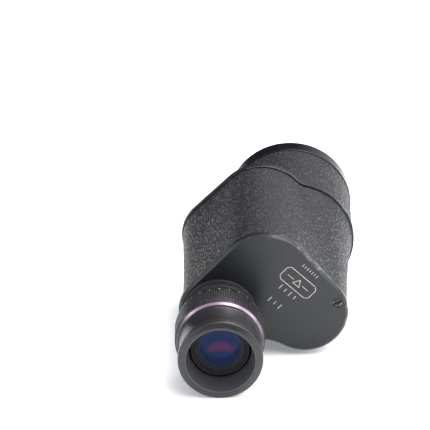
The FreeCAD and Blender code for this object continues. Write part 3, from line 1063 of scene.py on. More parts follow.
class Repeater:
    """A Geometry Nodes group with named inputs that makes one plain mesh."""

    def __init__(self, name: str, sizes: dict[str, Any], finish: bpy.types.Material) -> None:
        """Start the group.

        Args:
            name: the group's name.
            sizes: its named inputs and their values.
            finish: the material set at the tree's end.
        """
        kinds = {float: "NodeSocketFloat", int: "NodeSocketInt", bpy.types.Object: "NodeSocketObject",
                 bpy.types.Material: "NodeSocketMaterial"}
        self.name = name
        self.given = {**sizes, "Finish": finish}
        self.tree = bpy.data.node_groups.new(name, "GeometryNodeTree")
        self.tree.interface.new_socket("Geometry", in_out="OUTPUT", socket_type="NodeSocketGeometry")
        self.keys = {}
        for label, value in self.given.items():
            kind = next(k for cls, k in kinds.items() if isinstance(value, cls))
            socket = self.tree.interface.new_socket(label, in_out="INPUT", socket_type=kind)
            self.keys[label] = socket.identifier
        self.board = Board(self.tree)
        self.inputs = self.board.add("NodeGroupInput")

    def size(self, label: str) -> Value:
        """Return one named input."""
        return Value(self.board, self.inputs.outputs[label])

    def make(self, geometry: bpy.types.NodeSocket) -> bpy.types.Mesh:
        """End the tree and evaluate it once.

        Args:
            geometry: what the tree has made.

        Returns:
            The plain mesh.
        """
        real = self.board.add("GeometryNodeRealizeInstances", None, {0: geometry})
        dressed = self.board.add("GeometryNodeSetMaterial", None,
                                 {"Geometry": real.outputs[0], "Material": self.size("Finish")})
        self.board.add("NodeGroupOutput", None, {0: dressed.outputs[0]})
        made = bpy.data.objects.new(self.name, bpy.data.meshes.new(self.name))
        bpy.context.scene.collection.objects.link(made)
        step = made.modifiers.new(self.name, "NODES")
        step.node_group = self.tree
        for label, key in self.keys.items():
            step[key] = self.given[label]
        return plain_mesh(made, self.name)


@dataclass
class Spot:
    """One place that a small shape is stamped at."""
    at: tuple[float, float, float]
    turn: float = 0.0
    size: tuple[float, float, float] = (1.0, 1.0, 1.0)


@dataclass
class Bench:
    """Where finished meshes become pieces that ride on the model's bodies."""
    placement: Placement
    palette: dict[Slot, bpy.types.Material]

    def fit(self, name: str, mesh: bpy.types.Mesh, body: Body, slot: Slot | None,
            stands_for: Sequence[str] = (), finish: bpy.types.Material | None = None) -> bpy.types.Object:
        """Lay a mesh down and make it a piece.

        Args:
            name: the piece's name.
            mesh: its mesh in the optical frame.
            body: the body that it rides on.
            slot: the record's slot that it takes its finish from.
            stands_for: the CAD nodes that it replaces.
            finish: a material of its own, where it has no slot.

        Returns:
            The piece.
        """
        mesh.transform(self.placement.matrix())
        mesh.shade_smooth()
        mesh.set_sharp_from_angle(angle=SHARP_EDGE)
        mesh.materials.clear()
        mesh.materials.append(finish or self.palette[slot])
        piece = bpy.data.objects.new(name, mesh)
        bpy.context.scene.collection.objects.link(piece)
        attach(piece, body.value)
        if stands_for:
            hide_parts(*stands_for)
        LOG.info("%s: %d faces on %s", name, len(mesh.polygons), body.value)
        return piece

    def stamped(self, name: str, shape: bpy.types.Mesh, spots: Sequence[Spot],
                finish: bpy.types.Material) -> bpy.types.Mesh:
        """Return a small shape repeated at spots, made with Geometry Nodes.

        Args:
            name: the new mesh's name.
            shape: the shape, with its front at the origin facing -Y.
            spots: where it goes, its turn about Y in degrees, and its size.
            finish: its material.

        Returns:
            The mesh.
        """
        places = bpy.data.meshes.new(name + "_spots")
        places.from_pydata([spot.at for spot in spots], [], [])
        turns = places.attributes.new("turn", "FLOAT", "POINT")
        turns.data.foreach_set("value", [math.radians(spot.turn) for spot in spots])
        sizes = places.attributes.new("size", "FLOAT_VECTOR", "POINT")
        sizes.data.foreach_set("vector", [part for spot in spots for part in spot.size])
        shape_object = bpy.data.objects.new(name + "_shape", shape)
        spots_object = bpy.data.objects.new(name + "_spots", places)
        tool = Repeater(name, {"Shape": shape_object, "Spots": spots_object, "Size": 1.0}, finish)
        board = tool.board
        one = board.add("GeometryNodeObjectInfo", None, {"Object": tool.size("Shape")})
        many = board.add("GeometryNodeObjectInfo", None, {"Object": tool.size("Spots")})
        turn = board.add("GeometryNodeInputNamedAttribute", {"data_type": "FLOAT"}, {"Name": "turn"})
        size = board.add("GeometryNodeInputNamedAttribute", {"data_type": "FLOAT_VECTOR"}, {"Name": "size"})
        scaled = board.add("ShaderNodeVectorMath", {"operation": "SCALE"},
                           {0: size.outputs["Attribute"], "Scale": tool.size("Size")})
        stamped = board.add("GeometryNodeInstanceOnPoints", None, {
            "Points": many.outputs["Geometry"], "Instance": one.outputs["Geometry"],
            "Rotation": board.join(0.0, turn.outputs["Attribute"], 0.0), "Scale": scaled.outputs[0]})
        mesh = tool.make(stamped.outputs[0])
        for spare in (shape_object, spots_object):
            bpy.data.objects.remove(spare)
        return mesh


def rod(x: float, z: float, radius: float, y0: float, y1: float, flare: float = 0.0) -> bpy.types.Mesh:
    """Return a round cutter along Y.

    Args:
        x: place of its axis.
        z: place of its axis.
        radius: its radius.
        y0: its front end.
        y1: its rear end.
        flare: depth of the 45 degree countersink at y = 0.

    Returns:
        The mesh.
    """
    path = [(0.0, y0), (radius + flare - y0 if flare else radius, y0)]
    if flare:
        path.append((radius, flare))
    path += [(radius, y1), (0.0, y1)]
    mesh = turned("rod", path, x, ROD_STEPS)
    mesh.transform(Matrix.Translation((0, 0, z)))
    return mesh


def slotted_head(name: str, radius: float, height: float, slot: float) -> bpy.types.Mesh:
    """Return a screw's head with its front at the origin, facing -Y.

    Args:
        name: the mesh's name.
        radius: radius of the head.
        height: height of the head.
        slot: width of the slot.

    Returns:
        The mesh.
    """
    crown, corner, steps, lip = 0.12, 0.22, 56, 0.07
    shoulder = (0.7 * radius, -0.45 * crown)
    profile = [(0.0, -crown), (0.35 * radius, -0.86 * crown), shoulder]
    profile += softened([shoulder, (radius, 0.0, corner), (radius, height)], False)[1:]
    profile.append((0.0, height))
    head = turned(name, profile, steps=steps, wear=lambda r, y: 0.6 if r > 0.8 * radius else 0.0)
    half, depth = slot / 2, 0.62 * height
    section = [(-half - lip - 1, -1.0), (-half - lip, 0.0), (-half, lip), (-half, depth),
               (half, depth), (half, lip), (half + lip, 0.0), (half + lip + 1, -1.0)]
    ends = [[Vector((x, y, z)) for z, y in section] for x in (-radius - 1, radius + 1)]
    return carved(head, [skinned("slot", ends, False, [1.0, 1.0])])


# ---------------------------------------------------------------- sub-assemblies
@dataclass
class PrismHousing:
    """The leathered prism housing with its two enamelled covers and their screws."""
    bench: Bench
    form: HousingForm = field(default_factory=HousingForm)
    leather_front: float = 4.8
    leather_rear: float = 74.6
    leather_t: float = 0.68
    leather_roll: float = 0.34      # roundness of the leather's cut edges
    unevenness: float = 0.07        # how far hand-laid leather strays from its form
    swell: float = 0.11             # how closely the unevenness follows on itself, per mm
    seam_depth: float = 0.33
    seam_column: int = 128          # the outline's point where the leather's ends meet, under the waist
    outer_rows: int = 46
    inner_rows: int = 12
    heart: tuple[float, float, float] = (25.0, 0.0, 4.0)    # a point well inside every section
    cover_t: float = 3.4
    cover_bore: float = 13.4
    bevel: float = 1.2
    edge_r: float = 0.16            # roundness of the bevel's edges
    front_t: float = 3.3
    housing_rear: float = 75.0
    barrel_seat_r: float = 26.2
    screw_at: Point2 = (55.2, 3.8)
    screw_r: float = 2.3
    screw_hole_r: float = 1.35
    screw_turn: float = -20.0
    screw_sink: float = 0.3         # how far the head lies below the cover's face
    front_screws: tuple[Point2, ...] = ((-11.3, -1.6), (18.2, 33.9), (6.1, -9.8))
    front_screw_r: float = 2.0
    front_sink_r: float = 2.15
    front_hole_r: float = 1.05

    def build(self) -> None:
        """Make every piece of the housing."""
        self.leather()
        self.eye_side_cover()
        self.front_cover()
        self.screws()

    def leather(self) -> None:
        """Make the leatherette: rolled edges, slight unevenness and a butt seam underneath."""
        front, rear, inner = self.leather_front, self.leather_rear, -self.leather_t
        outer = softened([(front, inner), (front, 0.0, self.leather_roll), (rear, 0.0, self.leather_roll),
                          (rear, inner)], False, 5)
        path: Path = []
        for here, there in zip(outer, outer[1:]):
            path.append(here)
            long_run = there[0] - here[0] > 5
            if long_run:
                path += [(here[0] + t * (there[0] - here[0]), 0.0) for t in even(self.outer_rows)[1:]]
        path.append(outer[-1])
        path += [(rear + t * (front - rear), inner) for t in even(self.inner_rows)[1:]]
        loops = []
        for y, grow in path:
            loop = self.form.loop(y, grow)
            if grow > inner / 2:
                loop = self._hand_laid(loop)
            loops.append(loop)
        mesh = skinned("housing_skin", loops, True)
        self.bench.fit("housing_skin", mesh, Body.HOUSING, Slot.LEATHERETTE, ["housing_leatherette"])

    def _hand_laid(self, loop: list[Vector]) -> list[Vector]:
        """Return a loop pulled in slightly by unevenness, and by the seam.

        Args:
            loop: the loop as drawn.

        Returns:
            The loop as laid.
        """
        laid = []
        count = len(loop)
        for index, point in enumerate(loop):
            along = loop[(index + 1) % count] - loop[index - 1]
            inward = Vector((-along.z, 0.0, along.x)).normalized()
            if inward.dot(Vector(self.heart) - Vector((point.x, 0.0, point.z))) < 0:
                inward.negate()
            depth = self.unevenness * (0.5 + 0.5 * noise.noise(point * self.swell))
            depth += self.seam_depth if index == self.seam_column else 0.0
            laid.append(point + inward * depth)
        return laid

    def _plate(self, name: str, outline: Outline, profile: Sequence[tuple[float, ...]],
               worn: Point2) -> bpy.types.Mesh:
        """Return a plate whose edge follows a profile.

        Args:
            name: the mesh's name.
            outline: the plate's outline.
            profile: (y, grow) corners from one face to the other.
            worn: the span of grow that is exposed to wear.

        Returns:
            The mesh.
        """
        path = softened(profile, False, 5)
        loops = [[Vector((x, y, z)) for x, z in outline.path(grow)] for y, grow in path]
        marks = [1.0 if worn[0] <= grow <= worn[1] else 0.0 for _, grow in path]
        return skinned(name, loops, False, marks)

    def eye_side_cover(self) -> None:
        """Make the bevelled cover that carries the eyepiece."""
        bevel, back = self.bevel, self.cover_t
        cover = self._plate("eye_side_cover", COVER_OUTLINE, [
            (0.0, -bevel - 2.0), (0.0, -bevel, self.edge_r), (bevel, 0.0, self.edge_r), (back, 0.0, 0.2),
            (back, -2.0)], (-self.edge_r, 0.0))
        bore = rod(0.0, 0.0, self.cover_bore, -1.0, back + 1)
        sink = rod(*self.screw_at, self.screw_r + 0.15, -1.0, 1.85, 0.18)
        through = rod(*self.screw_at, self.screw_hole_r, 0.5, back + 1)
        cover = carved(cover, [bore, sink, through])
        self.bench.fit("eye_side_cover", cover, Body.HOUSING, Slot.COVER_PAINT, ["eyepiece_cover"])

    def front_cover(self) -> None:
        """Make the cover that carries the objective barrel."""
        rear = self.housing_rear + self.front_t
        cover = self._plate("front_cover", FRONT_OUTLINE, [
            (self.housing_rear, -2.0), (self.housing_rear, 0.0, 0.25), (rear - 0.6, 0.0, 0.25),
            (rear, -0.6, 0.2), (rear, -2.6)], (-0.3, -0.06))
        cutters = [rod(OBJECTIVE_X, 0.0, self.barrel_seat_r, 60.0, 90.0)]
        for x, z in self.front_screws:
            cutters.append(rod(x, z, self.front_sink_r, rear - 1.5, rear + 1))
            cutters.append(rod(x, z, self.front_hole_r, 60.0, rear))
        self.bench.fit("front_cover", carved(cover, cutters), Body.HOUSING, Slot.COVER_PAINT,
                       ["objective_cover"])

    def screws(self) -> None:
        """Make the cover screw, and the three screws of the front cover."""
        finish = self.bench.palette[Slot.SCREW_STEEL]
        head = slotted_head("cover_screw_head", self.screw_r, 1.5, 0.55)
        seat = Spot((self.screw_at[0], self.screw_sink, self.screw_at[1]), self.screw_turn)
        one = self.bench.stamped("cover_screw_head", head, [seat], finish)
        self.bench.fit("cover_screw_head", one, Body.HOUSING, Slot.SCREW_STEEL, ["cover_screw"])
        small = slotted_head("front_screw", self.front_screw_r, 1.4, 0.5)
        small.transform(Matrix.Rotation(math.pi, 4, "X"))
        face = self.housing_rear + self.front_t - 0.12
        spots = [Spot((x, face, z), 35.0 * number) for number, (x, z) in enumerate(self.front_screws, 1)]
        heads = self.bench.stamped("front_cover_screws", small, spots, finish)
        self.bench.fit("front_cover_screws", heads, Body.HOUSING, Slot.SCREW_STEEL,
                       [f"rear_cover_screw_{number}" for number in range(1, len(spots) + 1)])


@dataclass
class CoverMarks:
    """Plain inlaid marks on the eyepiece cover: a framed prism sign and rows of bars."""
    bench: Bench
    middle: Point2 = (36.7, 14.7)
    slant: float = 43.4             # degrees down from X, along the cover's edge
    frame_size: Point2 = (18.4, 8.2)
    frame_cut: float = 1.6          # how far the frame's corners are cut back
    frame_round: float = 0.8
    ray_span: Point2 = (2.6, 6.4)   # where each ray starts and ends, from the sign's middle
    ray_half: float = 0.15          # half of a ray's width
    short_bar: float = 0.72         # height of every other bar, against its neighbours
    line: float = 0.36
    front: float = -0.025
    back: float = 0.06
    # rows of bars: middle (x, z), number, pitch, bar length, bar height
    rows: tuple[tuple[float, float, int, float, float, float], ...] = (
        (42.4, 20.6, 7, 1.45, 0.34, 1.5), (31.9, 9.9, 4, 2.9, 0.42, 2.7), (25.9, 4.4, 3, 3.1, 0.45, 2.7))

    def build(self) -> None:
        """Make the sign and the rows of bars."""
        white = InlayPaint("white_inlay").material()
        wide, high = (size / 2 for size in self.frame_size)
        cut, bend = self.frame_cut, self.frame_round
        rim = softened([(-wide, -high + cut, bend), (-wide + cut, -high, bend), (wide - cut, -high, bend),
                        (wide, -high + cut, bend), (wide, high - cut, bend), (wide - cut, high, bend),
                        (-wide + cut, high, bend), (-wide, high - cut, bend)])
        prism = softened([(-2.3, -1.7, 0.15), (2.3, -1.7, 0.15), (0.0, 2.0, 0.15)])
        drawn = bmesh.new()
        for path in (rim, prism):
            drawn.from_mesh(self._band(path))
        (near, far), half = self.ray_span, self.ray_half
        for left, right in ((-far, -near), (near, far)):
            drawn.from_mesh(self._slab([(left, -half), (right, -half), (right, half), (left, half)]))
        sign = bpy.data.meshes.new("cover_sign")
        drawn.to_mesh(sign)
        drawn.free()
        turn = Matrix.Rotation(math.radians(self.slant), 4, "Y")
        sign.transform(Matrix.Translation((self.middle[0], 0.0, self.middle[1])) @ turn)
        self.bench.fit("cover_sign", sign, Body.HOUSING, None, (), white)
        bar = self._slab(UNIT_SQUARE)
        along = turn @ Vector((1.0, 0.0, 0.0))
        spots = []
        for x, z, count, pitch, width, height in self.rows:
            for index in range(count):
                off = (index - (count - 1) / 2) * pitch
                tall = height * (1.0 if index % 2 == 0 else self.short_bar)
                at = (x + off * along.x, 0.0, z + off * along.z)
                spots.append(Spot(at, self.slant, (width, 1.0, tall)))
        bars = self.bench.stamped("cover_bars", bar, spots, white)
        self.bench.fit("cover_bars", bars, Body.HOUSING, None, (), white)

    def _band(self, path: Path) -> bpy.types.Mesh:
        """Return a closed line of even width along a path.

        Args:
            path: the line's outer side.

        Returns:
            The mesh.
        """
        inner = []
        for index, here in enumerate(path):
            run = Vector(path[(index + 1) % len(path)]) - Vector(path[index - 1])
            left = Vector((-run.y, run.x)).normalized() * self.line
            inner.append((here[0] + left.x, here[1] + left.y))
        walls = [(path, self.back), (path, self.front), (inner, self.front), (inner, self.back)]
        return skinned("band", [[Vector((x, y, z)) for x, z in wall] for wall, y in walls], True)

    def _slab(self, path: Path) -> bpy.types.Mesh:
        """Return a thin plate with the outline of a path."""
        walls = [[Vector((x, y, z)) for x, z in path] for y in (self.front, self.back)]
        return skinned("slab", walls, False)


@dataclass
class ObjectiveBarrel:
    """The leathered objective barrel with its gloss end ring, front lens and lens ring."""
    bench: Bench
    skin_in: float = 28.82
    skin_out: float = 29.6
    skin_front: float = 78.85
    skin_rear: float = 113.4
    ring_in: float = 28.82
    ring_out: float = 30.0
    ring_start: float = 113.5
    tip: float = 122.3
    barrel_end: float = 118.05
    mouth_r: float = 27.4
    throat_r: float = 26.2
    lens_r: float = 25.7
    lens_edge: float = 109.0
    lens_back: float = 105.5
    lens_sags: Point2 = (3.4, -3.2)     # front and back
    unevenness: float = 0.06        # how far hand-laid leather strays from its form
    swell: float = 0.12             # how closely the unevenness follows on itself, per mm
    lens_ring_front: float = 111.5
    lens_ring_top_r: float = 25.0
    lens_ring_in: float = 24.62
    slot_middle_r: float = 25.2

    def build(self) -> None:
        """Make every piece of the barrel."""
        skin = turned("barrel_skin", softened([
            (self.skin_in, self.skin_front), (self.skin_out, self.skin_front, 0.34),
            (self.skin_out, self.skin_rear, 0.3), (self.skin_in, self.skin_rear)], steps=5),
            OBJECTIVE_X, BARREL_STEPS)
        self._uneven(skin)
        self.bench.fit("barrel_skin", skin, Body.HOUSING, Slot.LEATHERETTE, ["barrel_leatherette"])
        mouth, throat = (self.mouth_r, self.tip - 0.15), (self.throat_r, self.barrel_end)
        bevel = [mouth, *grooved(mouth, throat, 6, 0.12), throat]
        ring = turned("barrel_end_ring", softened([
            (self.ring_in, self.ring_start), (self.ring_out, self.ring_start, 0.3),
            (self.ring_out, self.tip, 0.9), (self.mouth_r + 0.15, self.tip, 0.1), *bevel,
            (self.ring_in, self.barrel_end)], steps=6), OBJECTIVE_X, BARREL_STEPS,
            lambda r, y: 1.0 if self.tip - 0.7 < y and r > self.mouth_r else 0.0)
        self.bench.fit("barrel_end_ring", ring, Body.HOUSING, Slot.END_RING_LACQUER, ["objective_end_ring"])
        front = dome(self.lens_r, self.lens_edge, self.lens_sags[0], 26)
        back = dome(self.lens_r, self.lens_back, self.lens_sags[1], 16)
        lens = turned("front_lens", [*front, *reversed(back)], OBJECTIVE_X, GLASS_STEPS)
        self.bench.fit("front_lens", lens, Body.HOUSING, Slot.COATED_GLASS, ["objective_crown_lens"])
        self._lens_ring()

    def _uneven(self, skin: bpy.types.Mesh) -> None:
        """Press the hand-laid leather in slightly here and there.

        Args:
            skin: the barrel's leather, in the optical frame.
        """
        for vertex in skin.vertices:
            out = Vector((vertex.co.x - OBJECTIVE_X, 0.0, vertex.co.z))
            if out.length > self.skin_out - 0.4:
                press = 0.5 + 0.5 * noise.noise(vertex.co * self.swell)
                vertex.co -= out.normalized() * self.unevenness * press

    def _lens_ring(self) -> None:
        """Make the ring that holds the front lens, with its two spanner slots."""
        y0, y1 = self.lens_edge, self.lens_ring_front
        ring = turned("front_lens_ring", softened([
            (self.lens_r, y0 + 0.02), (self.lens_r, y1, 0.1), (self.lens_ring_top_r, y1, 0.1),
            (self.lens_ring_in, y1 - 0.5, 0.1), (self.lens_ring_in, y0 + 0.4)], steps=3),
            OBJECTIVE_X, GLASS_STEPS)
        slots = []
        for side in (-1, 1):
            mid = OBJECTIVE_X + side * self.slot_middle_r
            ends = [[Vector((mid + dx, y, dz)) for dx, dz in ((-1, -0.6), (1, -0.6), (1, 0.6), (-1, 0.6))]
                    for y in (y1 - 0.9, y1 + 1)]
            slots.append(skinned("slot", ends, False))
        self.bench.fit("front_lens_ring", carved(ring, slots), Body.HOUSING, Slot.INNER_BLACK,
                       ["objective_retaining_ring"])


@dataclass
class EyepieceSeat:
    """The fixed land and neck that the focusing ring runs over."""
    bench: Bench
    land_r: float = 17.05
    land_t: float = 1.7
    neck_r: float = 16.0
    neck_end: float = -23.0
    bore_r: float = 13.15
    stem_r: float = 13.3            # the stem that sits in the cover's bore
    stem_rear: float = 6.6
    throat_r: float = 11.6
    throat_front: float = -0.9

    def build(self) -> None:
        """Make the seat, with a rounded land and a fine groove in its neck."""
        grooves = [(self.neck_r, -4.3), (self.neck_r - 0.15, -4.45), (self.neck_r - 0.15, -4.8),
                   (self.neck_r, -4.95)]
        seat = turned("eyepiece_seat", softened([
            (self.throat_r, self.stem_rear), (self.stem_r, self.stem_rear), (self.stem_r, 0.02),
            (self.land_r, 0.02), (self.land_r, -self.land_t, 0.35),
            (self.neck_r, -self.land_t, 0.1), *grooves, (self.neck_r, self.neck_end, 0.4),
            (self.bore_r, self.neck_end), (self.bore_r, self.throat_front),
            (self.throat_r, self.throat_front)], steps=5),
            wear=lambda r, y: 1.0 if r > self.land_r - 0.25 and y < self.throat_front else 0.0)
        self.bench.fit("eyepiece_seat", seat, Body.HOUSING, Slot.MOUNT_LACQUER, ["eyepiece_mount"])


@dataclass
class EyeLens:
    """The eye lens and the grooved ring that holds it, on the sliding lens carriage."""
    bench: Bench
    lens_r: float = 11.25
    front_edge: float = -35.4
    back_edge: float = -32.0
    sags: Point2 = (-1.6, 2.4)      # front and back

    def build(self) -> None:
        """Make the lens and its ring."""
        front = dome(self.lens_r, self.front_edge, self.sags[0], 20)
        back = dome(self.lens_r, self.back_edge, self.sags[1], 12)
        lens = turned("eye_lens", [*front, *reversed(back)], 0.0, GLASS_STEPS)
        self.bench.fit("eye_lens", lens, Body.CARRIAGE, Slot.EYE_GLASS, ["eye_crown_lens"])
        face = grooved((10.75, -37.05), (13.1, -37.86), 4, -0.14, 0.06)
        ring = turned("eye_lens_ring", softened([
            (9.85, -35.85), (11.2, -35.47), (11.2, -36.62), (13.8, -36.62), (13.8, -37.6, 0.12),
            (13.2, -37.9, 0.1), *reversed(face), (10.3, -36.9, 0.08), (9.85, -36.45, 0.08)], steps=3))
        self.bench.fit("eye_lens_ring", ring, Body.CARRIAGE, Slot.RETAINER_BLACK, ["eye_lens_retainer"])


@dataclass
class FocusingGrip:
    """The knurled focusing ring with its dioptre ticks, and the eyecup screwed into it."""
    bench: Bench
    ring_r: float = 20.8
    core_r: float = 20.36
    rear: float = -15.2
    shoulder: float = 1.9           # width of the plain band behind the knurl
    knurl_end: float = -29.4
    front: float = -30.7
    nose_r: float = 19.4            # radius where the front bevel ends
    spigot_r: float = 16.6
    spigot_front: float = -33.3
    inner_r: float = 16.3           # behind the web
    well_r: float = 15.6            # in front of the web
    web_r: float = 13.65
    web_rear: float = -28.5
    web_front: float = -30.5
    ribs: int = 168
    rib_width: float = 0.56
    rib_taper: float = 0.62         # how much of its width a rib loses towards its top
    rib_fade: float = 0.3           # the wear mark on the tops of the ribs
    tick_count: int = 9
    tick_pitch: float = 13.0        # degrees
    tick_inset: float = 1.15        # the ticks' middles, from the ring's rear
    tick_width: float = 0.34
    tick_lengths: Point2 = (0.85, 0.5)   # every fourth tick, and the others
    rim_y: float = -49.4
    rim_r: float = 19.6
    lip_land: float = 1.5           # how far behind the lip the rim's outside begins
    lip_in: float = 15.8
    throat_r: float = 14.4

    def build(self) -> None:
        """Make the ring, its ticks and the eyecup."""
        self.ring()
        self.ticks()
        self.eyecup()

    def ring(self) -> None:
        """Make the ring: a turned core that carries straight knurling."""
        fall = (self.ring_r - self.nose_r) / (self.knurl_end - self.front)
        core_end = self.knurl_end - (self.ring_r - self.core_r) / fall
        core = turned("focus_ring_core", softened([
            (self.inner_r, self.rear), (self.core_r - 0.6, self.rear, 0.1),
            (self.core_r, self.rear - 0.6, 0.15), (self.core_r, core_end, 0.03),
            (self.nose_r, self.front, 0.15), (self.spigot_r, self.front),
            (self.spigot_r, self.spigot_front), (self.well_r, self.spigot_front),
            (self.well_r, self.web_front), (self.web_r, self.web_front),
            (self.web_r, self.web_rear), (self.inner_r, self.web_rear)], steps=4), 0.0, self.ribs,
            lambda r, y: 1.0 if y < self.knurl_end and r > 17 else 0.0)
        core_object = bpy.data.objects.new("focus_ring_core", core)
        tool = Repeater("focus_grip", {
            "Core": core_object, "Ribs": self.ribs, "Core Radius": self.core_r - 0.03,
            "Rib Height": self.ring_r - self.core_r + 0.03, "Rib Width": self.rib_width,
            "Rear": self.rear - self.shoulder, "Front": core_end, "Front Slope": 1 / fall},
            self.bench.palette[Slot.FOCUS_RING_LACQUER])
        board = tool.board
        cube = board.add("GeometryNodeMeshCube", None, {"Size": (1.0, 1.0, 1.0)})
        x, y, z = board.parts(board.add("GeometryNodeInputPosition").outputs[0])
        top = z + 0.5
        height = tool.size("Rib Height")
        wide = x * tool.size("Rib Width") * (1 - self.rib_taper * top)
        rear_end = tool.size("Rear") - height * top
        front_end = tool.size("Front") + height * top * tool.size("Front Slope")
        along = (y + 0.5) * rear_end + (0.5 - y) * front_end
        shaped = board.add("GeometryNodeSetPosition", None, {
            "Geometry": cube.outputs["Mesh"],
            "Position": board.join(wide, along, tool.size("Core Radius") + height * top)})
        line = board.add("GeometryNodeMeshLine", None, {
            "Count": tool.size("Ribs"), "Offset": (0.0, 0.0, 0.0)})
        number = Value(board, board.add("GeometryNodeInputIndex").outputs[0])
        turn = number * (2 * math.pi) / tool.size("Ribs")
        knurl = board.add("GeometryNodeInstanceOnPoints", None, {
            "Points": line.outputs[0], "Instance": shaped.outputs[0],
            "Rotation": board.join(0.0, turn, 0.0)})
        info = board.add("GeometryNodeObjectInfo", None, {"Object": tool.size("Core")})
        both = board.add("GeometryNodeJoinGeometry")
        board.tree.links.new(knurl.outputs[0], both.inputs[0])
        board.tree.links.new(info.outputs["Geometry"], both.inputs[0])
        mesh = tool.make(both.outputs[0])
        bpy.data.objects.remove(core_object)
        marks = mesh.attributes.get("edge")
        for vertex, mark in zip(mesh.vertices, marks.data):
            beyond = math.hypot(vertex.co.x, vertex.co.z) > self.ring_r - 0.1
            mark.value = max(mark.value, self.rib_fade if beyond else 0.0)
        self.bench.fit("focus_grip", mesh, Body.RING, Slot.FOCUS_RING_LACQUER, ["focus_ring"])

    def ticks(self) -> None:
        """Make the short white ticks of the dioptre scale on the ring's plain rear band."""
        white = InlayPaint("white_ticks", tone=(0.55, 0.55, 0.53)).material()
        flat = [[Vector((x, y, z)) for x, y in UNIT_SQUARE] for z in (-0.03, 0.03)]
        tick = skinned("tick", flat, False)
        spots = []
        for index in range(self.tick_count):
            turn = self.tick_pitch * (index - (self.tick_count - 1) / 2)
            angle = math.radians(turn)
            long = self.tick_lengths[0] if index % 4 == 0 else self.tick_lengths[1]
            across, up = self.core_r * math.sin(angle), self.core_r * math.cos(angle)
            at = (across, self.rear - self.tick_inset, up)
            spots.append(Spot(at, turn, (self.tick_width, long, 1.0)))
        mesh = self.bench.stamped("scale_ticks", tick, spots, white)
        self.bench.fit("scale_ticks", mesh, Body.RING, None, (), white)

    def eyecup(self) -> None:
        """Make the eyecup: a waisted skirt, a broad lip and a funnel with turned lines."""
        seat_r, start = self.spigot_r + 0.02, self.front - 0.02
        skirt = [(18.95, start, 0.1), (18.84, -34.5), (18.8, -38.0), (18.93, -41.5), (19.2, -44.4, 0.4),
                 (self.rim_r, -46.2, 0.5)]
        lip = [(self.rim_r, self.rim_y + self.lip_land - 0.35, 0.8),
               (self.rim_r - 0.9, self.rim_y + 0.72, 0.5), (17.0, self.rim_y + 0.05, 0.9),
               (self.lip_in + 0.1, self.rim_y, 0.4)]
        wide, narrow = (self.lip_in - 0.15, self.rim_y + 1.0), (self.throat_r, -38.4)
        funnel = [wide, *grooved(wide, narrow, 9, -0.05), narrow]
        cup = turned("eyecup_shell", softened([
            (self.throat_r, self.spigot_front - 0.02), (seat_r, self.spigot_front - 0.02), (seat_r, start),
            *skirt, *lip, *funnel], steps=6), 0.0, CUP_STEPS,
            lambda r, y: 1.0 if y < self.rim_y + 1.6 and r > self.lip_in else 0.15)
        self.bench.fit("eyecup_shell", cup, Body.RING, Slot.EYECUP_PLASTIC, ["eyecup"])


@dataclass
class InnerParts:
    """The model's own nodes that stay: each gets the finish of its slot."""
    palette: dict[Slot, bpy.types.Material]

    def dress(self) -> None:
        """Put each node's finish on its material slots."""
        for part in frame["record"]["subparts"]:
            finish = self.palette[Slot(part["material_slot"])]
            node = frame["nodes"][part["node"]]
            if not node.data.materials:
                node.data.materials.append(finish)
            for place in node.material_slots:
                place.material = finish
        LOG.info("dressed %d model nodes", len(frame["nodes"]))


